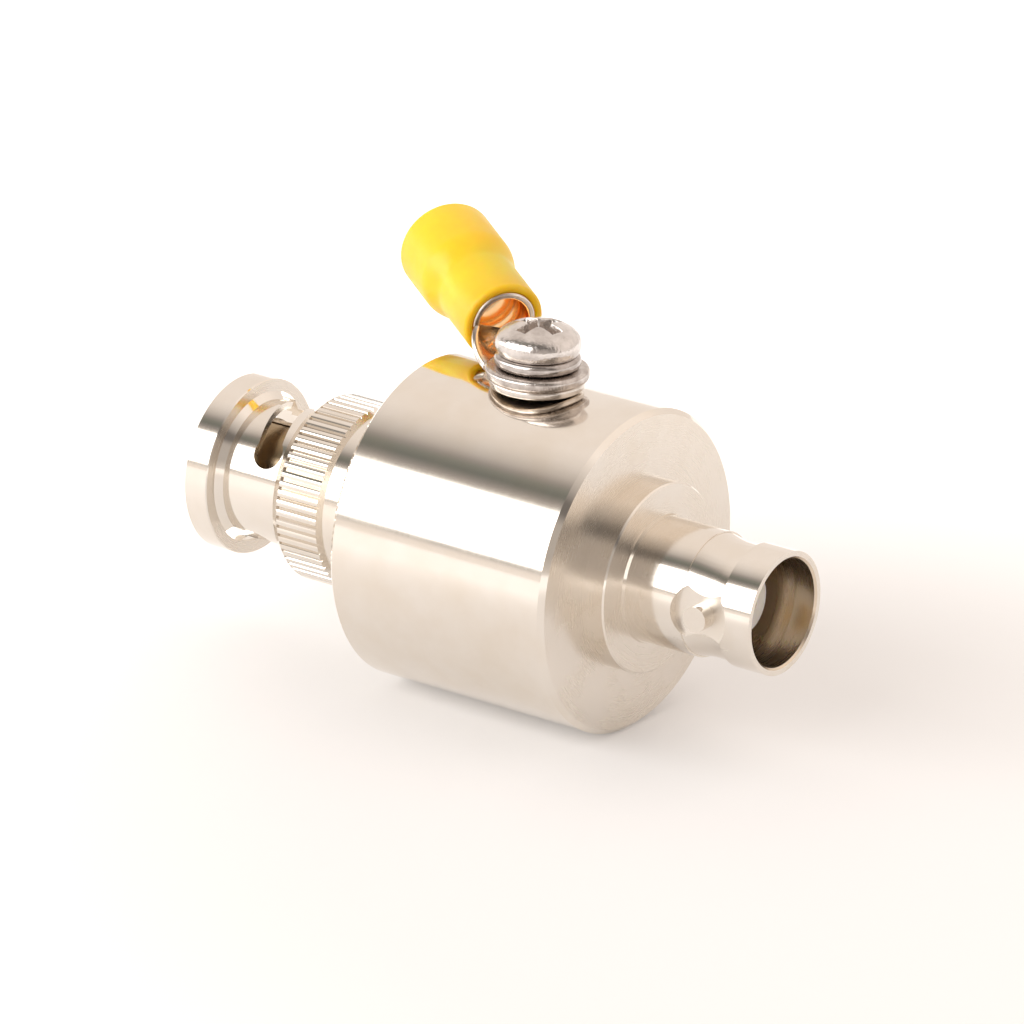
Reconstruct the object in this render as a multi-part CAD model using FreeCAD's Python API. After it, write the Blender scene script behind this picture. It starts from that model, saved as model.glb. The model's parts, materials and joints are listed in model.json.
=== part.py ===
"""Inline coaxial lightning arrestor: bayonet jack at +X, bayonet plug at -X, ground stud on top.

Frame: +X is the connector axis, out of the jack's mouth; +Z is the ground screw's axis; the
origin is on the connector axis in the plane of the jack's mouth. Millimetres.
"""

import FreeCAD, Part
import math
import os

from FreeCAD import Base

Vector = Base.Vector

# Jack end, measured back from the mouth
MOUTH_X = 0.0
LAND_RADIUS = 4.83
LAND_LENGTH = 2.75
WAIST_RADIUS = 4.52
WAIST_FRONT_RADIUS = 4.70
WAIST_REAR_RADIUS = 4.80
WAIST_LENGTH = 3.5
ROOT_RADIUS = 4.90
ROOT_LENGTH = 4.9
COLLAR_RADIUS = 5.05
COLLAR_LENGTH = 0.25
BOSS_RADIUS = 7.45
BOSS_LENGTH = 1.95
LIP_CHAMFER = 0.16
JACK_ENTRY_RADIUS = 4.25
JACK_ENTRY_LENGTH = 1.9
JACK_TAPER_LENGTH = 1.3
JACK_INNER_RADIUS = 4.06
JACK_BORE_DEPTH = 8.35
JACK_LIP_RADIUS = 3.0
JACK_LIP_LENGTH = 0.65
JACK_CORE_RADIUS = 3.5

# Bayonet lugs, milled out of the shell wall
LUG_SETBACK = 4.45
LUG_RADIUS = 1.0
LUG_TIP_RADIUS = 5.5
SPOTFACE_SETBACK = 4.58
SPOTFACE_RADIUS = 2.47
SPOTFACE_LEVEL = 4.25

# Housing
BODY_RADIUS = 12.7
BODY_LENGTH = 19.9
BODY_CHAMFER = 0.4
FRONT_WALL = 4.0
SPIGOT_RADIUS = 5.5
CAVITY_RADIUS = 8.0
END_DISC_LENGTH = 4.0

# Inner line
NOSE_RADIUS = 2.4
NOSE_RECESS = 3.3
CONTACT_RECESS = 3.5
CONTACT_RADIUS = 1.1
CONTACT_BORE_RADIUS = 0.69
CONTACT_BORE_DEPTH = 5.4
CONTACT_SLOT_DEPTH = 4.0
CONTACT_SLOT_WIDTH = 0.25
CONTACT_RELIEF = 0.12
CONDUCTOR_RADIUS = 1.5
CONDUCTOR_FLAT = 1.2
CONDUCTOR_FLAT_LENGTH = 6.0
JOINT_PIN_RADIUS = 0.55
JOINT_PIN_LENGTH = 2.0

# Gas discharge tube between the inner line and the housing wall
TUBE_RADIUS = 2.75
TUBE_HEIGHT = 6.0
TUBE_CAP = 0.8
TUBE_BORE_RADIUS = 1.95
SPARK_BOSS_RADIUS = 1.5
SPARK_GAP = 1.6
TUBE_POCKET_CLEARANCE = 0.05
CARRIER_CLEARANCE = 0.05
SPRING_DISC_THICKNESS = 0.2
SPRING_DISC_INNER_RADIUS = 0.7
SPRING_DISC_RADIUS = 2.4

# Plug end
PLUG_HUB_RADIUS = 6.2
PLUG_HUB_CHAMFER = 0.3
PLUG_NECK_RADIUS = 4.9
PLUG_FLANGE_LENGTH = 1.0
PLUG_FLANGE_CLEARANCE = 0.07
PLUG_SHANK_RADIUS = 3.7
PLUG_SHANK_LENGTH = 4.0
PLUG_CORE_RADIUS = 3.3
CONTACT_SLEEVE_RADIUS = 4.0
CONTACT_SLEEVE_LIP = 0.3
FINGER_SLOT_LENGTH = 6.6
FINGER_SLOT_WIDTH = 0.35
FINGER_SLOTS = 4
PLUG_FACE_RECESS = 5.2
PIN_RADIUS = 0.675
PIN_RECESS = 0.25
PIN_SHANK_RADIUS = 0.9
GASKET_THICKNESS = 0.6
GASKET_RADIUS = 4.85

# Coupling nut
NUT_FRONT_LENGTH = 2.2
NUT_FLANGE_RADIUS = 7.0
NUT_EDGE = 0.15
NUT_SLEEVE_RADIUS = 5.5
NUT_SLEEVE_LENGTH = 6.35
NUT_ROOT_BEVEL = 0.5
NUT_BEVEL_RADIUS = 6.85
NUT_BEVEL_LENGTH = 0.75
KNURL_RADIUS = 7.38
KNURL_LENGTH = 4.1
KNURL_TEETH = 60
KNURL_DEPTH = 0.2
KNURL_GROOVE_SHARE = 0.36
KNURL_END_BEVEL = 0.3
NUT_TAIL_RADIUS = 6.95
NUT_TAIL_LENGTH = 1.4
NUT_BORE_RADIUS = 4.97
NUT_ENTRY_RADIUS = 5.2
NUT_ENTRY_LENGTH = 2.3
NUT_ENTRY_CHAMFER = 0.2
NUT_CAVITY_RADIUS = 6.0
NUT_STOP_CLEARANCE = 0.05
NUT_TO_HUB_GAP = 0.5
CHANNEL_RADIUS = 6.08
CHANNEL_WIDTH = 2.3
CHANNEL_ANGLE = 55.0
LOCK_ANGLE = 143.5
LOCK_RADIUS = 1.28
SLOT_WIDTH = 2.1
SLOT_RISE = 1.75

# Nut retention
RETAINER_THICKNESS = 0.6
RETAINER_DEPTH = 0.42
RETAINER_INNER_RADIUS = 5.35
RETAINER_GAP_DEG = 28.0
RETAINER_SIDE_CLEARANCE = 0.05
RETAINER_TAIL = 0.45
WASHER_THICKNESS = 0.4
WASHER_INNER_CLEARANCE = 0.08
WAVE_SPRING_HEIGHT = 1.0
WAVE_SPRING_THICKNESS = 0.22
WAVE_SPRING_WAVES = 3
RUNNING_GAP = 0.05
FACE_GAP = 0.03

# Ground screw with its captive washers
SCREW_HEAD_RADIUS = 3.32
SCREW_HEAD_HEIGHT = 2.4
SCREW_HEAD_BASE_RADIUS = 3.12
SCREW_CROWN_RADIUS = 1.2
SCREW_SHANK_RADIUS = 1.97
SCREW_LENGTH = 6.0
SCREW_TIP_CHAMFER = 0.4
THREAD_CLEARANCE = 0.06
THREAD_HOLE_SPARE = 0.25
RECESS_SPAN = 1.85
RECESS_WIDTH = 0.95
RECESS_DEPTH = 1.5
RECESS_TAPER = 0.45
RECESS_TURN = 80.0
LOCK_WASHER_RADIUS = 3.32
LOCK_WASHER_BORE = 2.1
LOCK_WASHER_THICKNESS = 1.05
LOCK_WASHER_EDGE = 0.3
LOCK_WASHER_SPLIT = 0.35
LOCK_WASHER_SPLIT_ANGLE = 130.0
FLAT_WASHER_RADIUS = 4.0
FLAT_WASHER_BORE = 2.12
FLAT_WASHER_THICKNESS = 0.9
FLAT_WASHER_EDGE = 0.25

# Ring terminal with its vinyl sleeve
TERMINAL_THICKNESS = 0.7
TERMINAL_RING_RADIUS = 3.65
TERMINAL_HOLE_RADIUS = 2.15
TERMINAL_TURN = 148.0
TERMINAL_LIFT = 10.5
TONGUE_WIDTH = 5.4
TONGUE_END = 4.2
BARREL_START = 6.75
BARREL_RISE = 2.8
BARREL_RADIUS = 2.55
BARREL_BORE_RADIUS = 2.0
BARREL_LENGTH = 6.6
SLEEVE_RADIUS = 3.2
SLEEVE_BELL_RADIUS = 3.8
SLEEVE_BELL_BORE_RADIUS = 3.1
SLEEVE_NECK_LENGTH = 5.2
SLEEVE_SHOULDER_LENGTH = 2.6
SLEEVE_LENGTH = 12.5
SLEEVE_SETBACK = 0.05
SLEEVE_EDGE = 0.45
SLEEVE_RIM_EDGE = 0.2

# Stations along the connector axis
WAIST_X = MOUTH_X - LAND_LENGTH
ROOT_X = WAIST_X - WAIST_LENGTH
COLLAR_X = ROOT_X - ROOT_LENGTH
BOSS_X = COLLAR_X - COLLAR_LENGTH
BODY_FRONT_X = BOSS_X - BOSS_LENGTH
BODY_REAR_X = BODY_FRONT_X - BODY_LENGTH
CAVITY_FRONT_X = BODY_FRONT_X - FRONT_WALL
CAVITY_REAR_X = BODY_REAR_X + END_DISC_LENGTH
TUBE_X = (CAVITY_FRONT_X + CAVITY_REAR_X) / 2.0
SCREW_X = (BODY_FRONT_X + BODY_REAR_X) / 2.0
JACK_FACE_X = MOUTH_X - JACK_BORE_DEPTH
LUG_X = MOUTH_X - LUG_SETBACK
SPOTFACE_X = MOUTH_X - SPOTFACE_SETBACK

# The plug is laid out from the housing's rear face outwards
RETENTION_STACK = WAVE_SPRING_HEIGHT + WASHER_THICKNESS + RETAINER_THICKNESS + RETAINER_TAIL + 3 * FACE_GAP
HUB_END_X = BODY_REAR_X - 2.95
NUT_REAR_X = HUB_END_X - NUT_TO_HUB_GAP
FLANGE_REAR_X = NUT_REAR_X - RETENTION_STACK
FLANGE_FRONT_X = FLANGE_REAR_X - PLUG_FLANGE_LENGTH
GASKET_FRONT_X = FLANGE_FRONT_X - GASKET_THICKNESS
SLEEVE_TIP_X = GASKET_FRONT_X - JACK_BORE_DEPTH
PLUG_FACE_X = SLEEVE_TIP_X + PLUG_FACE_RECESS
PIN_TIP_X = SLEEVE_TIP_X + PIN_RECESS
SHANK_END_X = FLANGE_FRONT_X + PLUG_SHANK_LENGTH

# The nut is laid out from its rear end forwards
KNURL_REAR_X = NUT_REAR_X - NUT_TAIL_LENGTH
KNURL_FRONT_X = KNURL_REAR_X - KNURL_LENGTH
NUT_BEVEL_X = KNURL_FRONT_X - NUT_BEVEL_LENGTH
NUT_FLANGE_X = NUT_BEVEL_X - NUT_SLEEVE_LENGTH
NUT_FRONT_X = NUT_FLANGE_X - NUT_FRONT_LENGTH
LOCK_X = GASKET_FRONT_X - LUG_SETBACK
NUT_STOP_X = FLANGE_FRONT_X - NUT_STOP_CLEARANCE
RETAINER_X = NUT_REAR_X - RETAINER_TAIL - RETAINER_THICKNESS
WASHER_X = RETAINER_X - FACE_GAP - WASHER_THICKNESS
SPRING_X = WASHER_X - FACE_GAP - WAVE_SPRING_HEIGHT
RETAINER_RADIUS = NUT_CAVITY_RADIUS + RETAINER_DEPTH

# Levels above the connector axis
TERMINAL_Z = BODY_RADIUS + FACE_GAP
FLAT_WASHER_Z = TERMINAL_Z + TERMINAL_THICKNESS + FACE_GAP
LOCK_WASHER_Z = FLAT_WASHER_Z + FLAT_WASHER_THICKNESS
SCREW_HEAD_Z = LOCK_WASHER_Z + LOCK_WASHER_THICKNESS + FACE_GAP
SCREW_TIP_Z = SCREW_HEAD_Z - SCREW_LENGTH
THREAD_HOLE_Z = SCREW_TIP_Z - THREAD_HOLE_SPARE
TUBE_Z = CONDUCTOR_FLAT
TUBE_TOP_Z = TUBE_Z + TUBE_HEIGHT

AXIS_X = Vector(1, 0, 0)
AXIS_Y = Vector(0, 1, 0)
AXIS_Z = Vector(0, 0, 1)
ORIGIN = Vector(0, 0, 0)


# Shapes shared by the pieces

def turned(profile):
    """Solid of revolution about the connector axis from a closed profile of (x, radius) points."""
    wire = Part.makePolygon([Vector(x, 0, r) for x, r in profile] + [Vector(profile[0][0], 0, profile[0][1])])
    return Part.Face(wire).revolve(ORIGIN, AXIS_X, 360.0)


def turned_upright(profile, x):
    """Solid of revolution about a vertical axis at station x from (radius, z) points."""
    points = [Vector(x + r, 0, z) for r, z in profile]
    wire = Part.makePolygon(points + [points[0]])
    return Part.Face(wire).revolve(Vector(x, 0, 0), AXIS_Z, 360.0)


def bar_x(radius, x_low, x_high):
    """Round bar along the connector axis."""
    return Part.makeCylinder(radius, x_high - x_low, Vector(x_low, 0, 0), AXIS_X)


def bar_z(radius, z_low, z_high, x, y=0.0):
    """Round bar along Z."""
    return Part.makeCylinder(radius, z_high - z_low, Vector(x, y, z_low), AXIS_Z)


def around_x(shape, angle):
    """The shape turned about the connector axis by an angle in degrees."""
    copy = shape.copy()
    copy.rotate(ORIGIN, AXIS_X, angle)
    return copy


def slots_x(width, length, reach, x_low, count):
    """Radial saw cuts along the connector axis, evenly spaced, from the axis out to a reach."""
    blade = Part.makeBox(length, width, reach, Vector(x_low, -width / 2.0, 0))
    blades = [around_x(blade, i * 360.0 / count) for i in range(count)]
    return blades[0].multiFuse(blades[1:])


# Housing and jack

def body_housing():
    """Turned cup: a cavity bored from the rear, a wall for the jack's spigot, a blind tapped hole on top."""
    outer = turned([
        (BODY_REAR_X, 0), (BODY_REAR_X, BODY_RADIUS - BODY_CHAMFER),
        (BODY_REAR_X + BODY_CHAMFER, BODY_RADIUS), (BODY_FRONT_X - BODY_CHAMFER, BODY_RADIUS),
        (BODY_FRONT_X, BODY_RADIUS - BODY_CHAMFER), (BODY_FRONT_X, 0),
    ])
    cavity = bar_x(CAVITY_RADIUS, BODY_REAR_X, CAVITY_FRONT_X)
    spigot_hole = bar_x(SPIGOT_RADIUS, CAVITY_FRONT_X, BODY_FRONT_X)
    tapped = bar_z(SCREW_SHANK_RADIUS + THREAD_CLEARANCE, THREAD_HOLE_Z, BODY_RADIUS + 1.0, SCREW_X)
    return outer.cut(cavity.multiFuse([spigot_hole, tapped]))


def bayonet_lug(side):
    """Cutter of one round spot-face, and the lug that stands on its flat floor."""
    direction = Vector(0, side, 0)
    depth = LUG_TIP_RADIUS - SPOTFACE_LEVEL
    base = Vector(SPOTFACE_X, side * SPOTFACE_LEVEL, 0)
    recess = Part.makeCylinder(SPOTFACE_RADIUS, depth + 1.0, base, direction)
    stud_base = Vector(LUG_X, side * (SPOTFACE_LEVEL - 0.1), 0)
    return recess, Part.makeCylinder(LUG_RADIUS, depth + 0.1, stud_base, direction)


def jack_shell():
    """Bayonet shell, boss and spigot, turned in one piece, with two lugs milled in its hollow waist."""
    profile = [
        (WAIST_X, WAIST_FRONT_RADIUS), (WAIST_X, LAND_RADIUS), (MOUTH_X, LAND_RADIUS),
        (MOUTH_X, JACK_ENTRY_RADIUS + LIP_CHAMFER), (MOUTH_X - LIP_CHAMFER, JACK_ENTRY_RADIUS),
        (MOUTH_X - JACK_ENTRY_LENGTH, JACK_ENTRY_RADIUS),
        (MOUTH_X - JACK_ENTRY_LENGTH - JACK_TAPER_LENGTH, JACK_INNER_RADIUS),
        (JACK_FACE_X, JACK_INNER_RADIUS), (JACK_FACE_X, JACK_LIP_RADIUS),
        (JACK_FACE_X - JACK_LIP_LENGTH, JACK_LIP_RADIUS),
        (JACK_FACE_X - JACK_LIP_LENGTH, JACK_CORE_RADIUS),
        (CAVITY_FRONT_X, JACK_CORE_RADIUS), (CAVITY_FRONT_X, SPIGOT_RADIUS),
        (BODY_FRONT_X, SPIGOT_RADIUS), (BODY_FRONT_X, BOSS_RADIUS),
        (BOSS_X - 0.12, BOSS_RADIUS), (BOSS_X, BOSS_RADIUS - 0.12),
        (BOSS_X, COLLAR_RADIUS), (COLLAR_X, COLLAR_RADIUS - 0.05), (COLLAR_X, ROOT_RADIUS),
        (ROOT_X, ROOT_RADIUS), (ROOT_X, WAIST_REAR_RADIUS),
    ]
    points = [Vector(x, 0, r) for x, r in profile]
    hollow = Vector((WAIST_X + ROOT_X) / 2.0, 0, WAIST_RADIUS)
    edges = Part.makePolygon(points).Edges + [Part.Arc(points[-1], hollow, points[0]).toShape()]
    shell = Part.Face(Part.Wire(edges)).revolve(ORIGIN, AXIS_X, 360.0)
    bore = bar_x(JACK_INNER_RADIUS, JACK_FACE_X, MOUTH_X)
    for side in (1, -1):
        recess, lug = bayonet_lug(side)
        shell = shell.cut(recess).fuse(lug.cut(bore))
    return shell.removeSplitter()


# Inner line

def jack_insulator():
    """Dielectric of the jack: a nose round the socket contact, a shoulder behind the shell's lip."""
    return turned([
        (CAVITY_FRONT_X, CONTACT_RADIUS), (CAVITY_FRONT_X, JACK_CORE_RADIUS),
        (JACK_FACE_X - JACK_LIP_LENGTH, JACK_CORE_RADIUS), (JACK_FACE_X - JACK_LIP_LENGTH, JACK_LIP_RADIUS),
        (JACK_FACE_X, JACK_LIP_RADIUS), (JACK_FACE_X, NOSE_RADIUS),
        (MOUTH_X - NOSE_RECESS, NOSE_RADIUS),
        (MOUTH_X - NOSE_RECESS, CONTACT_RADIUS + CONTACT_RELIEF),
        (MOUTH_X - CONTACT_RECESS - CONTACT_SLOT_DEPTH, CONTACT_RADIUS + CONTACT_RELIEF),
        (MOUTH_X - CONTACT_RECESS - CONTACT_SLOT_DEPTH, CONTACT_RADIUS),
    ])


def jack_socket_contact():
    """Slotted socket for the mating pin, with a joint pin at its rear end."""
    front = MOUTH_X - CONTACT_RECESS
    barrel = bar_x(CONTACT_RADIUS, CAVITY_FRONT_X, front)
    joint = bar_x(JOINT_PIN_RADIUS, CAVITY_FRONT_X - JOINT_PIN_LENGTH, CAVITY_FRONT_X)
    bore = bar_x(CONTACT_BORE_RADIUS, front - CONTACT_BORE_DEPTH, front)
    lead_in = Part.makeCone(CONTACT_BORE_RADIUS, CONTACT_BORE_RADIUS + 0.2, 0.2,
                            Vector(front - 0.2, 0, 0), AXIS_X)
    slots = slots_x(CONTACT_SLOT_WIDTH, CONTACT_SLOT_DEPTH, CONTACT_RADIUS + 1.0,
                    front - CONTACT_SLOT_DEPTH, 4)
    return barrel.fuse(joint).cut(bore.multiFuse([lead_in, slots]))


def centre_conductor():
    """Round rod between the two insulators, with a flat on top where the gas tube stands."""
    rod = bar_x(CONDUCTOR_RADIUS, CAVITY_REAR_X, CAVITY_FRONT_X)
    flat = Part.makeBox(CONDUCTOR_FLAT_LENGTH, 2 * CONDUCTOR_RADIUS, CONDUCTOR_RADIUS,
                        Vector(TUBE_X - CONDUCTOR_FLAT_LENGTH / 2.0, -CONDUCTOR_RADIUS, CONDUCTOR_FLAT))
    front_hole = bar_x(JOINT_PIN_RADIUS, CAVITY_FRONT_X - JOINT_PIN_LENGTH, CAVITY_FRONT_X)
    rear_hole = bar_x(JOINT_PIN_RADIUS, CAVITY_REAR_X, CAVITY_REAR_X + JOINT_PIN_LENGTH)
    return rod.cut(flat.multiFuse([front_hole, rear_hole]))


def plug_insulator():
    """Dielectric of the plug, from the housing's cavity to the recessed face inside the contact sleeve."""
    return turned([
        (PLUG_FACE_X, PIN_SHANK_RADIUS), (PLUG_FACE_X, PLUG_CORE_RADIUS),
        (CAVITY_REAR_X, PLUG_CORE_RADIUS), (CAVITY_REAR_X, PIN_SHANK_RADIUS),
    ])


def plug_centre_pin():
    """Contact pin with a bevelled tip, a thicker shank in the insulator and a joint pin."""
    return turned([
        (PIN_TIP_X, 0), (PIN_TIP_X, PIN_RADIUS * 0.45), (PIN_TIP_X + 0.45 * PIN_RADIUS, PIN_RADIUS),
        (PLUG_FACE_X, PIN_RADIUS), (PLUG_FACE_X, PIN_SHANK_RADIUS), (CAVITY_REAR_X, PIN_SHANK_RADIUS),
        (CAVITY_REAR_X, JOINT_PIN_RADIUS), (CAVITY_REAR_X + JOINT_PIN_LENGTH, JOINT_PIN_RADIUS),
        (CAVITY_REAR_X + JOINT_PIN_LENGTH, 0),
    ])


# Gas discharge tube

def gas_tube_carrier():
    """Insulating bead that fills the cavity and holds the gas tube upright on the conductor."""
    bead = turned([
        (CAVITY_REAR_X, CONDUCTOR_RADIUS), (CAVITY_REAR_X, CAVITY_RADIUS - CARRIER_CLEARANCE),
        (CAVITY_FRONT_X, CAVITY_RADIUS - CARRIER_CLEARANCE), (CAVITY_FRONT_X, CONDUCTOR_RADIUS),
    ])
    pocket = bar_z(TUBE_RADIUS + TUBE_POCKET_CLEARANCE, 0, CAVITY_RADIUS + 1.0, TUBE_X)
    return bead.cut(pocket)


def gas_tube_ceramic():
    """Ceramic ring between the two electrodes."""
    ring = bar_z(TUBE_RADIUS, TUBE_Z + TUBE_CAP, TUBE_TOP_Z - TUBE_CAP, TUBE_X)
    return ring.cut(bar_z(TUBE_BORE_RADIUS, TUBE_Z, TUBE_TOP_Z, TUBE_X))


def gas_tube_electrode(outer_z, direction):
    """Metal cap with a boss that stands into the ceramic ring and leaves the spark gap."""
    boss_height = (TUBE_HEIGHT - SPARK_GAP) / 2.0
    axis = Vector(0, 0, direction)
    base = Vector(TUBE_X, 0, outer_z)
    cap = Part.makeCylinder(TUBE_RADIUS, TUBE_CAP, base, axis)
    return cap.fuse(Part.makeCylinder(SPARK_BOSS_RADIUS, boss_height, base, axis)).removeSplitter()


def contact_spring():
    """Dished disc that presses the gas tube's upper cap against the cavity wall."""
    top = math.sqrt(CAVITY_RADIUS ** 2 - SPRING_DISC_INNER_RADIUS ** 2)
    low = TUBE_TOP_Z
    return turned_upright([
        (SPRING_DISC_INNER_RADIUS, top - SPRING_DISC_THICKNESS), (SPRING_DISC_INNER_RADIUS, top),
        (SPRING_DISC_RADIUS, low + SPRING_DISC_THICKNESS), (SPRING_DISC_RADIUS, low),
    ], TUBE_X)


# Plug

def plug_body():
    """Disc in the housing's rear, hub, neck and the flange that carries the coupling nut."""
    flange_radius = NUT_CAVITY_RADIUS - PLUG_FLANGE_CLEARANCE
    return turned([
        (CAVITY_REAR_X, PLUG_CORE_RADIUS), (CAVITY_REAR_X, CAVITY_RADIUS),
        (BODY_REAR_X, CAVITY_RADIUS), (BODY_REAR_X, PLUG_HUB_RADIUS),
        (HUB_END_X + PLUG_HUB_CHAMFER, PLUG_HUB_RADIUS), (HUB_END_X, PLUG_HUB_RADIUS - PLUG_HUB_CHAMFER),
        (HUB_END_X, PLUG_NECK_RADIUS), (FLANGE_REAR_X, PLUG_NECK_RADIUS),
        (FLANGE_REAR_X, flange_radius), (FLANGE_FRONT_X, flange_radius),
        (FLANGE_FRONT_X, PLUG_SHANK_RADIUS), (SHANK_END_X, PLUG_SHANK_RADIUS),
        (SHANK_END_X, PLUG_CORE_RADIUS),
    ])


def plug_contact_sleeve():
    """Outer contact: a thin tube with sprung fingers and a slightly swollen lip."""
    sleeve = turned([
        (SLEEVE_TIP_X, PLUG_CORE_RADIUS + 0.15), (SLEEVE_TIP_X, CONTACT_SLEEVE_RADIUS - 0.12),
        (SLEEVE_TIP_X + 0.15, CONTACT_SLEEVE_RADIUS), (SLEEVE_TIP_X + 0.15 + CONTACT_SLEEVE_LIP, CONTACT_SLEEVE_RADIUS),
        (SLEEVE_TIP_X + 0.3 + CONTACT_SLEEVE_LIP, CONTACT_SLEEVE_RADIUS - 0.1),
        (FLANGE_FRONT_X, CONTACT_SLEEVE_RADIUS - 0.1),
        (FLANGE_FRONT_X, PLUG_SHANK_RADIUS), (SHANK_END_X, PLUG_SHANK_RADIUS),
        (SHANK_END_X, PLUG_CORE_RADIUS), (SLEEVE_TIP_X + 0.15, PLUG_CORE_RADIUS),
    ])
    slots = slots_x(FINGER_SLOT_WIDTH, FINGER_SLOT_LENGTH, CONTACT_SLEEVE_RADIUS + 1.0,
                    SLEEVE_TIP_X, FINGER_SLOTS)
    core = bar_x(PLUG_CORE_RADIUS - 0.01, SLEEVE_TIP_X - 1.0, SHANK_END_X + 1.0)
    return sleeve.cut(slots.cut(core))


def plug_gasket():
    """Rubber ring against the flange's front face, where the mating jack's mouth seals."""
    return turned([
        (GASKET_FRONT_X, CONTACT_SLEEVE_RADIUS - 0.1), (GASKET_FRONT_X, GASKET_RADIUS),
        (FLANGE_FRONT_X, GASKET_RADIUS), (FLANGE_FRONT_X, CONTACT_SLEEVE_RADIUS - 0.1),
    ])


# Coupling nut

def bayonet_ramp():
    """Cutter for one slot: entry channel, helical ramp and locking hole, reaching the channel depth."""
    inner = NUT_BORE_RADIUS - 0.4
    ramp_angle = LOCK_ANGLE - CHANNEL_ANGLE
    entry_x = LOCK_X - SLOT_RISE
    pitch = SLOT_RISE * 360.0 / ramp_angle
    lead = math.atan2(SLOT_RISE, math.radians(ramp_angle) * NUT_SLEEVE_RADIUS)
    half_width = SLOT_WIDTH / 2.0 / math.cos(lead)
    helix = Part.makeHelix(pitch, SLOT_RISE, (inner + CHANNEL_RADIUS) / 2.0)
    profile = Part.makePolygon([
        Vector(inner, 0, -half_width), Vector(CHANNEL_RADIUS, 0, -half_width),
        Vector(CHANNEL_RADIUS, 0, half_width), Vector(inner, 0, half_width), Vector(inner, 0, -half_width),
    ])
    ramp = Part.Wire(helix.Edges).makePipeShell([profile], True, True)
    # the helix climbs along Z from the +X direction; it is laid along +X, starting at the channel
    ramp.rotate(ORIGIN, AXIS_Y, 90.0)
    ramp.rotate(ORIGIN, AXIS_X, CHANNEL_ANGLE + 90.0)
    ramp.translate(Vector(entry_x, 0, 0))

    def radial(x, angle, radius):
        direction = Vector(0, math.cos(math.radians(angle)), math.sin(math.radians(angle)))
        return Part.makeCylinder(radius, CHANNEL_RADIUS - inner, Vector(x, 0, 0) + direction * inner, direction)

    corner = radial(entry_x, CHANNEL_ANGLE, CHANNEL_WIDTH / 2.0)
    hole = radial(LOCK_X, LOCK_ANGLE, LOCK_RADIUS)
    channel = Part.makeBox(entry_x - NUT_FRONT_X + 1.0, CHANNEL_WIDTH, CHANNEL_RADIUS,
                           Vector(NUT_FRONT_X - 1.0, -CHANNEL_WIDTH / 2.0, 0))
    channel = around_x(channel, CHANNEL_ANGLE - 90.0).common(
        bar_x(CHANNEL_RADIUS, NUT_FRONT_X - 1.0, entry_x))
    return ramp.multiFuse([corner, hole, channel])


def knurl_grooves():
    """V grooves along the grip, one per tooth."""
    half_angle = math.radians(180.0 / KNURL_TEETH)
    half_width = KNURL_RADIUS * math.tan(half_angle) * KNURL_GROOVE_SHARE
    top = KNURL_RADIUS + 0.3
    spread = half_width * (top - KNURL_RADIUS + KNURL_DEPTH) / KNURL_DEPTH
    wire = Part.makePolygon([
        Vector(KNURL_FRONT_X, 0, KNURL_RADIUS - KNURL_DEPTH), Vector(KNURL_FRONT_X, spread, top),
        Vector(KNURL_FRONT_X, -spread, top), Vector(KNURL_FRONT_X, 0, KNURL_RADIUS - KNURL_DEPTH),
    ])
    groove = Part.Face(wire).extrude(Vector(KNURL_LENGTH, 0, 0))
    return [around_x(groove, (i + 0.5) * 360.0 / KNURL_TEETH) for i in range(KNURL_TEETH)]


def coupling_nut():
    """Bayonet nut: flange, slotted sleeve and knurled grip, with a cavity for its retention at the rear."""
    groove_front = RETAINER_X - RETAINER_SIDE_CLEARANCE
    groove_rear = RETAINER_X + RETAINER_THICKNESS + RETAINER_SIDE_CLEARANCE
    nut = turned([
        (NUT_FRONT_X, NUT_ENTRY_RADIUS + NUT_ENTRY_CHAMFER), (NUT_FRONT_X, NUT_FLANGE_RADIUS - NUT_EDGE),
        (NUT_FRONT_X + NUT_EDGE, NUT_FLANGE_RADIUS), (NUT_FLANGE_X - 0.08, NUT_FLANGE_RADIUS),
        (NUT_FLANGE_X, NUT_FLANGE_RADIUS - 0.08), (NUT_FLANGE_X, NUT_SLEEVE_RADIUS + NUT_ROOT_BEVEL),
        (NUT_FLANGE_X + NUT_ROOT_BEVEL, NUT_SLEEVE_RADIUS),
        (NUT_BEVEL_X, NUT_SLEEVE_RADIUS), (NUT_BEVEL_X, NUT_BEVEL_RADIUS),
        (KNURL_FRONT_X, KNURL_RADIUS), (KNURL_REAR_X - KNURL_END_BEVEL, KNURL_RADIUS),
        (KNURL_REAR_X, NUT_TAIL_RADIUS), (NUT_REAR_X - NUT_EDGE, NUT_TAIL_RADIUS),
        (NUT_REAR_X, NUT_TAIL_RADIUS - NUT_EDGE), (NUT_REAR_X, NUT_CAVITY_RADIUS),
        (groove_rear, NUT_CAVITY_RADIUS), (groove_rear, RETAINER_RADIUS),
        (groove_front, RETAINER_RADIUS), (groove_front, NUT_CAVITY_RADIUS),
        (NUT_STOP_X, NUT_CAVITY_RADIUS), (NUT_STOP_X, NUT_BORE_RADIUS),
        (NUT_FRONT_X + NUT_ENTRY_LENGTH, NUT_BORE_RADIUS), (NUT_FRONT_X + NUT_ENTRY_LENGTH, NUT_ENTRY_RADIUS),
        (NUT_FRONT_X + NUT_ENTRY_CHAMFER, NUT_ENTRY_RADIUS),
    ])
    ramp = bayonet_ramp()
    return nut.cut([ramp, around_x(ramp, 180.0)]).cut(knurl_grooves())


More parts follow.
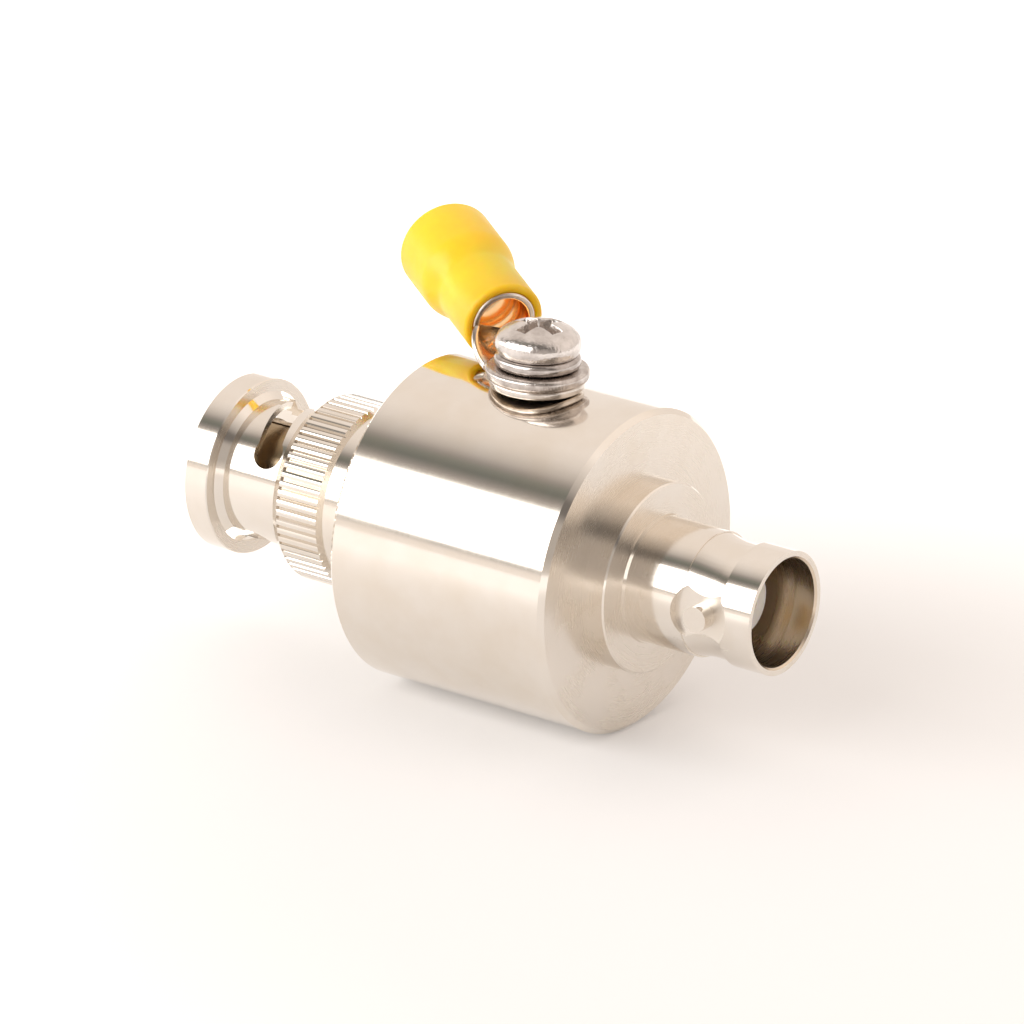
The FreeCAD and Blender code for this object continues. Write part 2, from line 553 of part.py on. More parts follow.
def nut_retaining_ring():
    """Open snap ring in the nut's inner groove."""
    outer = RETAINER_RADIUS - RETAINER_SIDE_CLEARANCE
    ring = bar_x(outer, RETAINER_X, RETAINER_X + RETAINER_THICKNESS)
    ring = ring.cut(bar_x(RETAINER_INNER_RADIUS, RETAINER_X, RETAINER_X + RETAINER_THICKNESS))
    half = math.radians(RETAINER_GAP_DEG / 2.0)
    reach = outer + 1.0
    wedge = Part.Face(Part.makePolygon([
        Vector(RETAINER_X, 0, 0), Vector(RETAINER_X, reach * math.sin(half), -reach * math.cos(half)),
        Vector(RETAINER_X, -reach * math.sin(half), -reach * math.cos(half)), Vector(RETAINER_X, 0, 0),
    ])).extrude(Vector(RETAINER_THICKNESS, 0, 0))
    return ring.cut(wedge)


def thrust_washer():
    """Flat ring between the wave spring and the snap ring."""
    inner = PLUG_NECK_RADIUS + WASHER_INNER_CLEARANCE
    outer = NUT_CAVITY_RADIUS - WASHER_INNER_CLEARANCE
    ring = bar_x(outer, WASHER_X, WASHER_X + WASHER_THICKNESS)
    return ring.cut(bar_x(inner, WASHER_X, WASHER_X + WASHER_THICKNESS))


def wave_spring():
    """Waved ring that holds the nut back against the flange, as flat facets between radial folds."""
    amplitude = (WAVE_SPRING_HEIGHT - WAVE_SPRING_THICKNESS) / 2.0
    inner = PLUG_NECK_RADIUS + 2 * WASHER_INNER_CLEARANCE
    outer = NUT_CAVITY_RADIUS - 2 * WASHER_INNER_CLEARANCE
    folds = 8 * WAVE_SPRING_WAVES

    def fold(i, radius, rise):
        angle = 2 * math.pi * i / folds
        x = SPRING_X + amplitude * (1.0 + math.cos(WAVE_SPRING_WAVES * angle)) + rise
        return Vector(x, radius * math.cos(angle), radius * math.sin(angle))

    faces = []
    for i in range(folds):
        corners = [[(radius, rise), other] for radius, rise, other in (
            (inner, 0, (outer, 0)), (outer, 0, (outer, WAVE_SPRING_THICKNESS)),
            (outer, WAVE_SPRING_THICKNESS, (inner, WAVE_SPRING_THICKNESS)),
            (inner, WAVE_SPRING_THICKNESS, (inner, 0)))]
        for first, second in corners:
            a, b = fold(i, *first), fold(i, *second)
            c, d = fold(i + 1, *second), fold(i + 1, *first)
            faces.append(Part.Face(Part.makePolygon([a, b, c, a])))
            faces.append(Part.Face(Part.makePolygon([a, c, d, a])))
    ring = Part.Solid(Part.Shell(faces))
    if ring.Volume < 0:
        ring.reverse()
    return ring


# Ground screw and washers

def cross_recess():
    """Cutters of the driver's tapered cross: two wings and a core."""
    top = SCREW_HEAD_Z + SCREW_HEAD_HEIGHT + 0.5
    bottom = SCREW_HEAD_Z + SCREW_HEAD_HEIGHT - RECESS_DEPTH
    span = RECESS_SPAN
    wing = Part.Face(Part.makePolygon([
        Vector(-span - 0.2, -RECESS_WIDTH / 2.0, top), Vector(span + 0.2, -RECESS_WIDTH / 2.0, top),
        Vector(span * RECESS_TAPER, -RECESS_WIDTH / 2.0, bottom),
        Vector(-span * RECESS_TAPER, -RECESS_WIDTH / 2.0, bottom),
        Vector(-span - 0.2, -RECESS_WIDTH / 2.0, top),
    ])).extrude(Vector(0, RECESS_WIDTH, 0))
    other = wing.copy()
    other.rotate(ORIGIN, AXIS_Z, 90.0)
    core = Part.makeCone(RECESS_WIDTH * 0.55, RECESS_WIDTH * 0.95, top - bottom, Vector(0, 0, bottom), AXIS_Z)
    cutters = [wing, other, core]
    for cutter in cutters:
        cutter.rotate(ORIGIN, AXIS_Z, RECESS_TURN)
        cutter.translate(Vector(SCREW_X, 0, 0))
    return cutters


def ground_screw():
    """Pan-head screw with a cross recess; its head bulges slightly and rolls over to a low dome."""
    radius, height = SCREW_HEAD_RADIUS, SCREW_HEAD_HEIGHT
    top = SCREW_HEAD_Z + height
    screw = turned_upright([
        (0, SCREW_TIP_Z), (SCREW_SHANK_RADIUS - SCREW_TIP_CHAMFER, SCREW_TIP_Z),
        (SCREW_SHANK_RADIUS, SCREW_TIP_Z + SCREW_TIP_CHAMFER), (SCREW_SHANK_RADIUS, SCREW_HEAD_Z),
        (SCREW_HEAD_BASE_RADIUS, SCREW_HEAD_Z), (radius, SCREW_HEAD_Z + 0.3 * height),
        (radius, SCREW_HEAD_Z + 0.45 * height), (0.93 * radius, SCREW_HEAD_Z + 0.68 * height),
        (0.77 * radius, SCREW_HEAD_Z + 0.84 * height), (SCREW_CROWN_RADIUS, top), (0, top),
    ], SCREW_X)
    return screw.cut(cross_recess())


def spring_lock_washer():
    """Split spring washer, clamped flat, with eased edges and a slanted split."""
    low, high, edge = LOCK_WASHER_Z, LOCK_WASHER_Z + LOCK_WASHER_THICKNESS, LOCK_WASHER_EDGE
    ring = turned_upright([
        (LOCK_WASHER_BORE, low), (LOCK_WASHER_RADIUS - edge, low), (LOCK_WASHER_RADIUS, low + edge),
        (LOCK_WASHER_RADIUS, high - edge), (LOCK_WASHER_RADIUS - edge, high), (LOCK_WASHER_BORE, high),
    ], SCREW_X)
    lean = LOCK_WASHER_THICKNESS * 0.5
    half = LOCK_WASHER_SPLIT / 2.0
    cut = Part.Face(Part.makePolygon([
        Vector(0, -half - lean, low - 0.1), Vector(0, half - lean, low - 0.1),
        Vector(0, half + lean, high + 0.1), Vector(0, -half + lean, high + 0.1), Vector(0, -half - lean, low - 0.1),
    ])).extrude(Vector(LOCK_WASHER_RADIUS + 1.0, 0, 0))
    cut.rotate(ORIGIN, AXIS_Z, LOCK_WASHER_SPLIT_ANGLE)
    cut.translate(Vector(SCREW_X, 0, 0))
    return ring.cut(cut)


def flat_washer():
    """Round plain washer with pressed, eased edges."""
    low, high, edge = FLAT_WASHER_Z, FLAT_WASHER_Z + FLAT_WASHER_THICKNESS, FLAT_WASHER_EDGE
    return turned_upright([
        (FLAT_WASHER_BORE, low), (FLAT_WASHER_RADIUS - edge, low), (FLAT_WASHER_RADIUS, low + edge),
        (FLAT_WASHER_RADIUS, high - edge),
        (FLAT_WASHER_RADIUS - edge, high), (FLAT_WASHER_BORE, high),
    ], SCREW_X)


# Ring terminal: built along +X from the screw's axis, then turned into place

def place_terminal(shape):
    """Moves a terminal piece from its own layout to its place under the washers."""
    shape.rotate(ORIGIN, AXIS_Z, TERMINAL_TURN)
    shape.translate(Vector(SCREW_X, 0, TERMINAL_Z))
    return shape


def along_barrel(shape):
    """Moves a piece laid along +X from its front plane to the barrel's lifted axis."""
    shape.rotate(ORIGIN, AXIS_Y, -TERMINAL_LIFT)
    shape.translate(Vector(BARREL_START, 0, BARREL_RISE))
    return shape


def scoop_section(share):
    """Section of the curling strip between the tongue (share 0) and the barrel's lower half (share 1)."""
    half_sheet = ((1.0 - share) * TERMINAL_THICKNESS + share * (BARREL_RADIUS - BARREL_BORE_RADIUS)) / 2.0
    mid_radius = (BARREL_RADIUS + BARREL_BORE_RADIUS) / 2.0
    curl = max(share, 0.04) / mid_radius
    half_strip = (1.0 - share) * TONGUE_WIDTH / 2.0 + share * mid_radius * math.pi / 2.0

    def point(along, offset):
        angle = curl * along
        reach = 1.0 / curl - offset
        return Vector(0, reach * math.sin(angle), offset + reach * (1.0 - math.cos(angle)))

    low_left, low_mid, low_right = [point(s * half_strip, -half_sheet) for s in (-1, 0, 1)]
    top_left, top_mid, top_right = [point(s * half_strip, half_sheet) for s in (-1, 0, 1)]
    wire = Part.Wire([
        Part.Arc(low_left, low_mid, low_right).toShape(), Part.LineSegment(low_right, top_right).toShape(),
        Part.Arc(top_right, top_mid, top_left).toShape(), Part.LineSegment(top_left, low_left).toShape(),
    ])
    lift = TERMINAL_LIFT * share
    end = Vector(BARREL_START + mid_radius * math.sin(math.radians(TERMINAL_LIFT)), 0,
                 BARREL_RISE - mid_radius * math.cos(math.radians(TERMINAL_LIFT)))
    start = Vector(TONGUE_END, 0, TERMINAL_THICKNESS / 2.0)
    wire.rotate(ORIGIN, AXIS_Y, -lift)
    place = start + (end - start) * share
    # the strip leaves the tongue level and only then climbs
    place.z = start.z + (end.z - start.z) * share ** 1.5
    wire.translate(place)
    return wire


def ring_terminal():
    """Sheet terminal: ring, tongue, a scoop that curls up, and the crimp barrel."""
    ring = bar_z(TERMINAL_RING_RADIUS, 0, TERMINAL_THICKNESS, 0)
    tongue = Part.makeBox(TONGUE_END + 0.1, TONGUE_WIDTH, TERMINAL_THICKNESS, Vector(0, -TONGUE_WIDTH / 2.0, 0))
    scoop = Part.makeLoft([scoop_section(share) for share in (0.0, 0.35, 0.7, 1.0)], True, False)
    barrel = Part.makeCylinder(BARREL_RADIUS, BARREL_LENGTH, ORIGIN, AXIS_X)
    barrel = along_barrel(barrel.cut(Part.makeCylinder(BARREL_BORE_RADIUS, BARREL_LENGTH, ORIGIN, AXIS_X)))
    terminal = ring.multiFuse([tongue, scoop, barrel]).removeSplitter()
    terminal = terminal.cut(bar_z(TERMINAL_HOLE_RADIUS, -1.0, TERMINAL_THICKNESS + 1.0, 0))
    return place_terminal(terminal)


def terminal_sleeve():
    """Vinyl sleeve: snug on the barrel, then a soft shoulder to the wider wire entry."""
    front = SLEEVE_SETBACK
    neck_end = front + SLEEVE_NECK_LENGTH
    bell = neck_end + SLEEVE_SHOULDER_LENGTH
    rear = front + SLEEVE_LENGTH
    rise = SLEEVE_BELL_RADIUS - SLEEVE_RADIUS
    wall_start = BARREL_LENGTH + 0.05
    sleeve = turned([
        (front, BARREL_RADIUS), (front, SLEEVE_RADIUS - SLEEVE_RIM_EDGE),
        (front + SLEEVE_RIM_EDGE, SLEEVE_RADIUS), (neck_end, SLEEVE_RADIUS),
        (neck_end + 0.3 * SLEEVE_SHOULDER_LENGTH, SLEEVE_RADIUS + 0.18 * rise),
        (neck_end + 0.7 * SLEEVE_SHOULDER_LENGTH, SLEEVE_RADIUS + 0.82 * rise),
        (bell, SLEEVE_BELL_RADIUS), (rear - SLEEVE_EDGE, SLEEVE_BELL_RADIUS),
        (rear, SLEEVE_BELL_RADIUS - SLEEVE_EDGE), (rear, SLEEVE_BELL_BORE_RADIUS),
        (bell + 0.4, SLEEVE_BELL_BORE_RADIUS), (wall_start, BARREL_RADIUS),
    ])
    return place_terminal(along_barrel(sleeve))


PIECES = {
    "body_housing": body_housing,
    "jack_shell": jack_shell,
    "jack_insulator": jack_insulator,
    "jack_socket_contact": jack_socket_contact,
    "centre_conductor": centre_conductor,
    "plug_insulator": plug_insulator,
    "plug_centre_pin": plug_centre_pin,
    "gas_tube_carrier": gas_tube_carrier,
    "gas_tube_ceramic": gas_tube_ceramic,
    "gas_tube_line_electrode": lambda: gas_tube_electrode(TUBE_Z, 1),
    "gas_tube_ground_electrode": lambda: gas_tube_electrode(TUBE_TOP_Z, -1),
    "contact_spring": contact_spring,
    "plug_body": plug_body,
    "plug_contact_sleeve": plug_contact_sleeve,
    "plug_gasket": plug_gasket,
    "coupling_nut": coupling_nut,
    "nut_retaining_ring": nut_retaining_ring,
    "thrust_washer": thrust_washer,
    "wave_spring": wave_spring,
    "ground_screw": ground_screw,
    "spring_lock_washer": spring_lock_washer,
    "flat_washer": flat_washer,
    "ring_terminal": ring_terminal,
    "terminal_sleeve": terminal_sleeve,
}


def main():
    """Builds every piece and writes one file per piece."""
    os.makedirs("parts", exist_ok=True)
    for name, build in PIECES.items():
        shape = build()
        box = shape.BoundBox
        print(f"{name:28s} valid {shape.isValid()} solids {len(shape.Solids)} volume {shape.Volume:9.2f} "
              f"x {box.XMin:7.2f} {box.XMax:7.2f} z {box.ZMin:7.2f} {box.ZMax:7.2f}")
        shape.exportStep(f"parts/{name}.step")


main()
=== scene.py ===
"""Looks of an inline coaxial lightning arrestor: plated body, bayonet ends, ground screw and terminal.

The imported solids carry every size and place. Those whose shape is right get a finish here; the screw,
washers, terminal, sleeve and wave spring are made anew with their rounded edges, thread and soft forms.
Sizes in the classes are millimetres; meshes are metres.
"""

import json
import logging
import math
from dataclasses import dataclass, field
from enum import Enum
from typing import Any, Optional, Sequence

import bpy
import numpy as np
from mathutils import Matrix, Vector

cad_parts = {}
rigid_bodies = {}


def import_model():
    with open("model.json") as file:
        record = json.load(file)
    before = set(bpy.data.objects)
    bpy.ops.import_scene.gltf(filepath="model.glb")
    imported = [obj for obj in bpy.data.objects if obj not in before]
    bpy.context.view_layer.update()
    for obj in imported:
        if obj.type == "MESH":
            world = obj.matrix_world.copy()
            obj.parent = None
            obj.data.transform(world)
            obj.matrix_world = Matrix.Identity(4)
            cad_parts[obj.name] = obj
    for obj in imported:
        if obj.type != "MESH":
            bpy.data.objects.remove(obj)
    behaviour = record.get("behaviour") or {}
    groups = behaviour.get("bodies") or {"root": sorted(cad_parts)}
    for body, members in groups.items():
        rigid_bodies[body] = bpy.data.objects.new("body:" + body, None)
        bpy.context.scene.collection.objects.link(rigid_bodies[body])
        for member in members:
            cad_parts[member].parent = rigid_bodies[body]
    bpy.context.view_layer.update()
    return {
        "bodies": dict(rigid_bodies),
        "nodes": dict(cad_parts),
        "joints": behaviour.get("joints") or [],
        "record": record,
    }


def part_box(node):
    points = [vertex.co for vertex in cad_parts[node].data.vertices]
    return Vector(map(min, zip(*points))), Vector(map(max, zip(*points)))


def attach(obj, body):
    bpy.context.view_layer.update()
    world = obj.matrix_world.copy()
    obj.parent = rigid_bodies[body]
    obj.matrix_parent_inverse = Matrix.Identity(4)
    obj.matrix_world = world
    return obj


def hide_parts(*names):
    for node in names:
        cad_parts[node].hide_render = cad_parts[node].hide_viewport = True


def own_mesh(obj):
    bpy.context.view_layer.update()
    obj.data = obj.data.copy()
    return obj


LOG = logging.getLogger("arrestor")
MM = 0.001
TURN = 2.0 * math.pi
STATIONS = 180


def linear(hex_colour: str) -> tuple[float, float, float, float]:
    """Turns an sRGB hex colour into linear light.

    Args:
        hex_colour: six hex digits after a hash sign.

    Returns:
        Red, green, blue and an opaque alpha.
    """
    parts = [int(hex_colour[i:i + 2], 16) / 255.0 for i in (1, 3, 5)]
    light = [p / 12.92 if p <= 0.04045 else ((p + 0.055) / 1.055) ** 2.4 for p in parts]
    return (light[0], light[1], light[2], 1.0)


def add_node(tree: bpy.types.NodeTree, kind: str, inputs: Optional[dict] = None,
             **settings: Any) -> bpy.types.Node:
    """Adds a shader node with its settings, values and incoming links.

    Args:
        tree: the node tree that gets the node.
        kind: the node's type name.
        inputs: input name or index to a value, or to the output socket that feeds it.
        settings: attributes of the node.

    Returns:
        The new node.
    """
    node = tree.nodes.new(kind)
    for name, value in settings.items():
        setattr(node, name, value)
    for key, value in (inputs or {}).items():
        if isinstance(value, bpy.types.NodeSocket):
            tree.links.new(value, node.inputs[key])
        else:
            node.inputs[key].default_value = value
    return node


def new_material(name: str) -> tuple[bpy.types.Material, bpy.types.NodeTree]:
    """Makes an empty node material.

    Args:
        name: the material's name.

    Returns:
        The material and its node tree.
    """
    material = bpy.data.materials.new(name)
    material.use_nodes = True
    material.node_tree.nodes.clear()
    return material, material.node_tree


class Grain(Enum):
    """How a surface was made, as the stretch of its finest marks along X, Y and Z."""

    ROLLED = (0.12, 1.0, 1.0)
    SHEARED = (1.0, 1.0, 0.15)
    TUMBLED = (1.0, 1.0, 1.0)


@dataclass(frozen=True)
class Finish:
    """A real surface: its material, its range of colour and gloss, and the spacing of its marks.

    Attributes:
        name: the finish in a maker's words, which names the material.
        colour: sRGB colour of most of the surface.
        shade: sRGB colour of its slow patches.
        roughness: middle of the roughness.
        spread: how far the roughness goes each way.
        metallic: 1 for a metal, 0 for the rest.
        grain: how the finest marks are stretched.
        grain_mm: spacing of the finest marks. Real ones are finer; they are drawn as coarse as shows.
        grain_depth: their depth, as a share of their spacing.
        patch_mm: width of the slow patches that handling and plating leave.
        ior: refractive index, at its default for a metal.
        subsurface: weight of the light that soaks in.
        soak_mm: how deep it soaks.
        soak_tint: shares of that depth for red, green and blue.
        inside: sRGB colour where the piece's attribute "inside" is 1, or nothing; on the vinyl it is painted
            shade.
    """

    name: str
    colour: str
    shade: str
    roughness: float
    spread: float
    metallic: float = 1.0
    grain: Grain = Grain.TUMBLED
    grain_mm: float = 0.3
    grain_depth: float = 0.02
    patch_mm: float = 4.0
    ior: float = 1.5
    subsurface: float = 0.0
    soak_mm: float = 1.0
    soak_tint: tuple[float, float, float] = (1.0, 0.55, 0.08)
    inside: str = ""

    def marks(self, tree: bpy.types.NodeTree, place: bpy.types.NodeSocket) -> bpy.types.NodeSocket:
        """Adds the fine marks: noise, stretched along the way the surface was worked.

        Args:
            tree: the material's node tree.
            place: object coordinates.

        Returns:
            A value socket, about 0.3 to 0.7.
        """
        mapping = add_node(tree, "ShaderNodeMapping", {"Vector": place, "Scale": self.grain.value})
        return add_node(tree, "ShaderNodeTexNoise", {"Vector": mapping.outputs["Vector"],
                                                     "Scale": 1.0 / (self.grain_mm * MM), "Detail": 4.0,
                                                     "Roughness": 0.6}).outputs["Fac"]

    def gloss(self, tree: bpy.types.NodeTree, place: bpy.types.NodeSocket,
              patches: bpy.types.NodeSocket, marks: bpy.types.NodeSocket) -> bpy.types.NodeSocket:
        """Adds the roughness: the base value, varied by the patches times the marks.

        Args:
            tree: the material's node tree.
            place: object coordinates.
            patches: the slow variation.
            marks: the fine variation.

        Returns:
            The roughness.
        """
        blend = add_node(tree, "ShaderNodeMath", {0: patches, 1: marks}, operation="MULTIPLY")
        return add_node(tree, "ShaderNodeMapRange", {
            "Value": blend.outputs["Value"], "From Min": 0.12, "From Max": 0.42,
            "To Min": max(self.roughness - self.spread, 0.02), "To Max": self.roughness + self.spread,
        }).outputs["Result"]

    def tint(self, tree: bpy.types.NodeTree, place: bpy.types.NodeSocket,
             patches: bpy.types.NodeSocket) -> bpy.types.NodeSocket:
        """Adds the colour: a slow blend of two tones, and another inside where the piece marks its inside.

        Args:
            tree: the material's node tree.
            place: object coordinates.
            patches: the slow variation.

        Returns:
            The colour.
        """
        share = add_node(tree, "ShaderNodeMapRange", {"Value": patches, "From Min": 0.35, "From Max": 0.7})
        tone = add_node(tree, "ShaderNodeMix", {"Factor": share.outputs["Result"], 6: linear(self.colour),
                                                7: linear(self.shade)}, data_type="RGBA").outputs[2]
        if not self.inside:
            return tone
        within = add_node(tree, "ShaderNodeAttribute", attribute_name="inside").outputs["Fac"]
        return add_node(tree, "ShaderNodeMix", {"Factor": within, 6: tone, 7: linear(self.inside)},
                        data_type="RGBA").outputs[2]

    def relief(self, tree: bpy.types.NodeTree, place: bpy.types.NodeSocket,
               marks: bpy.types.NodeSocket) -> bpy.types.NodeSocket:
        """Adds the small relief of the marks.

        Args:
            tree: the material's node tree.
            place: object coordinates.
            marks: the fine variation.

        Returns:
            The normal.
        """
        return add_node(tree, "ShaderNodeBump", {
            "Height": marks, "Strength": 1.0,
            "Distance": self.grain_depth * self.grain_mm * MM}).outputs["Normal"]

    def build(self) -> bpy.types.Material:
        """Makes the node material of this finish.

        Returns:
            The material.
        """
        material, tree = new_material(self.name)
        place = add_node(tree, "ShaderNodeTexCoord").outputs["Object"]
        patches = add_node(tree, "ShaderNodeTexNoise", {"Vector": place, "Scale": 1.0 / (self.patch_mm * MM),
                                                        "Detail": 3.0, "Roughness": 0.55}).outputs["Fac"]
        marks = self.marks(tree, place)
        shader = add_node(tree, "ShaderNodeBsdfPrincipled", {
            "Base Color": self.tint(tree, place, patches), "Metallic": self.metallic,
            "Roughness": self.gloss(tree, place, patches, marks), "IOR": self.ior,
            "Normal": self.relief(tree, place, marks), "Subsurface Weight": self.subsurface,
            "Subsurface Scale": self.soak_mm * MM, "Subsurface Radius": self.soak_tint})
        add_node(tree, "ShaderNodeOutputMaterial", {"Surface": shader.outputs["BSDF"]})
        return material


@dataclass(frozen=True)
class TurnedFinish(Finish):
    """Surface turned about the connector's axis: fine rings, faced ends less glossy than the sides.

    With a bore colour, the inside of a bore and the milled floors beside the lugs are duller too, and the
    bore is painted browner as shade.

    Attributes:
        facing: roughness added on faced ends.
        milled: roughness added on the milled floors.
        bored: roughness added in the bore.
        bore_painted_shade: sRGB colour in the bore, or nothing.
        bore_reach: least radius of a wall that counts as bore, in millimetres.
        floor_at: distance of the milled floors from the middle, in millimetres.
        floor_slack: how far off that distance a point may lie, in millimetres.
        floor_span: where the floors start and end along the axis, in millimetres.
    """

    facing: float = 0.17
    milled: float = 0.25
    bored: float = 0.17
    bore_painted_shade: str = ""
    bore_reach: float = 3.0
    floor_at: float = 4.25
    floor_slack: float = 0.01
    floor_span: tuple[float, float] = (-7.1, -2.0)

    def marks(self, tree: bpy.types.NodeTree, place: bpy.types.NodeSocket) -> bpy.types.NodeSocket:
        """Adds the tool's rings: noise of the place along the axis and the distance from it only.

        Args:
            tree: the material's node tree.
            place: object coordinates.

        Returns:
            A value socket, about 0.3 to 0.7.
        """
        parts = add_node(tree, "ShaderNodeSeparateXYZ", {"Vector": place})
        across = add_node(tree, "ShaderNodeCombineXYZ", {"X": parts.outputs["Y"], "Y": parts.outputs["Z"]})
        radius = add_node(tree, "ShaderNodeVectorMath", {0: across.outputs["Vector"]}, operation="LENGTH")
        ring = add_node(tree, "ShaderNodeCombineXYZ", {"X": parts.outputs["X"], "Y": radius.outputs["Value"]})
        return add_node(tree, "ShaderNodeTexNoise", {"Vector": ring.outputs["Vector"],
                                                     "Scale": 1.0 / (self.grain_mm * MM), "Detail": 2.0,
                                                     "Roughness": 0.7}).outputs["Fac"]

    def within_bore(self, tree: bpy.types.NodeTree, place: bpy.types.NodeSocket) -> bpy.types.NodeSocket:
        """Marks the walls that face the axis.

        Args:
            tree: the material's node tree.
            place: object coordinates.

        Returns:
            1 where the place across the axis, times the normal, is below minus the bore's reach, or else 0.
        """
        across = add_node(tree, "ShaderNodeVectorMath", {0: place, 1: (0.0, 1.0, 1.0)}, operation="MULTIPLY")
        normal = add_node(tree, "ShaderNodeNewGeometry").outputs["Normal"]
        toward = add_node(tree, "ShaderNodeVectorMath", {0: across.outputs["Vector"], 1: normal},
                          operation="DOT_PRODUCT")
        return add_node(tree, "ShaderNodeMath", {0: toward.outputs["Value"], 1: -self.bore_reach * MM},
                        operation="LESS_THAN").outputs["Value"]

    def within_span(self, tree: bpy.types.NodeTree, place: bpy.types.NodeSocket,
                    span: tuple[float, float]) -> bpy.types.NodeSocket:
        """Marks a stretch of the axis.

        Args:
            tree: the material's node tree.
            place: object coordinates.
            span: where the stretch starts and ends, in millimetres.

        Returns:
            1 where the place along the axis is within half the span of its middle, or else 0.
        """
        parts = add_node(tree, "ShaderNodeSeparateXYZ", {"Vector": place})
        middle = sum(span) / 2.0 * MM
        half = (span[1] - span[0]) / 2.0 * MM
        return add_node(tree, "ShaderNodeMath", {0: parts.outputs["X"], 1: middle, 2: half},
                        operation="COMPARE").outputs["Value"]

    def gloss(self, tree: bpy.types.NodeTree, place: bpy.types.NodeSocket,
              patches: bpy.types.NodeSocket, marks: bpy.types.NodeSocket) -> bpy.types.NodeSocket:
        """Adds the roughness: more on ends that face along the axis, on the milled floors and in the bore.

        Args:
            tree: the material's node tree.
            place: object coordinates.
            patches: the slow variation.
            marks: the fine variation.

        Returns:
            The roughness.
        """
        total = super().gloss(tree, place, patches, marks)
        normal = add_node(tree, "ShaderNodeNewGeometry").outputs["Normal"]
        along = add_node(tree, "ShaderNodeSeparateXYZ", {"Vector": normal})
        end = add_node(tree, "ShaderNodeMath", {0: along.outputs["X"]}, operation="ABSOLUTE")
        ends = add_node(tree, "ShaderNodeMapRange", {"Value": end.outputs["Value"], "From Min": 0.9,
                                                     "From Max": 0.99, "To Max": self.facing})
        total = add_node(tree, "ShaderNodeMath", {0: total, 1: ends.outputs["Result"]},
                         operation="ADD").outputs["Value"]
        if not self.bore_painted_shade:
            return total
        parts = add_node(tree, "ShaderNodeSeparateXYZ", {"Vector": place})
        side = add_node(tree, "ShaderNodeMath", {0: parts.outputs["Y"]}, operation="ABSOLUTE")
        level = add_node(tree, "ShaderNodeMath", {0: side.outputs["Value"], 1: self.floor_at * MM,
                                                  2: self.floor_slack * MM}, operation="COMPARE")
        floor = add_node(tree, "ShaderNodeMath", {0: level.outputs["Value"],
                                                  1: self.within_span(tree, place, self.floor_span)},
                         operation="MULTIPLY").outputs["Value"]
        for there, more in ((floor, self.milled), (self.within_bore(tree, place), self.bored)):
            total = add_node(tree, "ShaderNodeMath", {0: there, 1: more, 2: total},
                             operation="MULTIPLY_ADD").outputs["Value"]
        return total

    def tint(self, tree: bpy.types.NodeTree, place: bpy.types.NodeSocket,
             patches: bpy.types.NodeSocket) -> bpy.types.NodeSocket:
        """Adds the colour, with painted shade in the bore: browner there, for its warm inter-reflections.

        Args:
            tree: the material's node tree.
            place: object coordinates.
            patches: the slow variation.

        Returns:
            The colour.
        """
        tone = super().tint(tree, place, patches)
        if not self.bore_painted_shade:
            return tone
        return add_node(tree, "ShaderNodeMix", {"Factor": self.within_bore(tree, place), 6: tone,
                                                7: linear(self.bore_painted_shade)}, data_type="RGBA").outputs[2]


@dataclass(frozen=True)
class KnurledFinish(TurnedFinish):
    """Turned surface with a straight knurl, whose lands are crowned.

    Attributes:
        teeth: number of lands round the grip.
        crown_mm: height of a crown.
        knurl_span: where the knurl starts and ends along the axis, in millimetres.
    """

    teeth: int = 60
    crown_mm: float = 0.09
    knurl_span: tuple[float, float] = (-42.2, -38.4)

    def relief(self, tree: bpy.types.NodeTree, place: bpy.types.NodeSocket,
               marks: bpy.types.NodeSocket) -> bpy.types.NodeSocket:
        """Adds the lands' crowns to the marks: the height is the cosine of the turn times the teeth.

        Args:
            tree: the material's node tree.
            place: object coordinates.
            marks: the fine variation.

        Returns:
            The normal.
        """
        parts = add_node(tree, "ShaderNodeSeparateXYZ", {"Vector": place})
        turn = add_node(tree, "ShaderNodeMath", {0: parts.outputs["Z"], 1: parts.outputs["Y"]},
                        operation="ARCTAN2")
        wave = add_node(tree, "ShaderNodeMath", {0: turn.outputs["Value"], 1: float(self.teeth)},
                        operation="MULTIPLY")
        crown = add_node(tree, "ShaderNodeMath", {0: wave.outputs["Value"]}, operation="COSINE")
        height = add_node(tree, "ShaderNodeMath", {0: crown.outputs["Value"],
                                                   1: self.within_span(tree, place, self.knurl_span)},
                          operation="MULTIPLY")
        crowned = add_node(tree, "ShaderNodeBump", {"Height": height.outputs["Value"], "Strength": 1.0,
                                                    "Distance": self.crown_mm / 2.0 * MM})
        return add_node(tree, "ShaderNodeBump", {
            "Height": marks, "Strength": 1.0, "Distance": self.grain_depth * self.grain_mm * MM,
            "Normal": crowned.outputs["Normal"]}).outputs["Normal"]


# Nickel over turned brass: warm, near a mirror, with faint rings left by the lathe; its bore is painted
# browner as shade
NICKEL = TurnedFinish("nickel_plated_brass", "#E6DFD6", "#E2D9CD", 0.1, 0.03, grain_mm=0.12,
                      grain_depth=0.003, bore_painted_shade="#D8C8B4")
# Nickel on the nut and plug; the knurl's lands are crowned, so each shows the window
NUT_NICKEL = KnurledFinish("nickel_plated_knurl", "#E6DFD6", "#E2D9CD", 0.1, 0.03, grain_mm=0.12,
                           grain_depth=0.003)
# Sprung contact sleeve with thin nickel: brown and dark all over as painted shade, for it lies deep inside
# the plug
CONTACT_NICKEL = TurnedFinish("nickel_flash_contact", "#A8957A", "#8F7C62", 0.22, 0.05, grain_mm=0.15,
                              grain_depth=0.02)
# Gold flash over nickel on the contacts: deep yellow and smooth
GOLD = TurnedFinish("gold_plated_contact", "#F2CD78", "#E6BC60", 0.16, 0.04, grain_mm=0.15, grain_depth=0.015)
# Free-cutting brass as it leaves the lathe: yellow, with open rings
BRASS = TurnedFinish("free_cutting_brass", "#E2C27C", "#CDA95F", 0.24, 0.05, grain_mm=0.18, grain_depth=0.02)
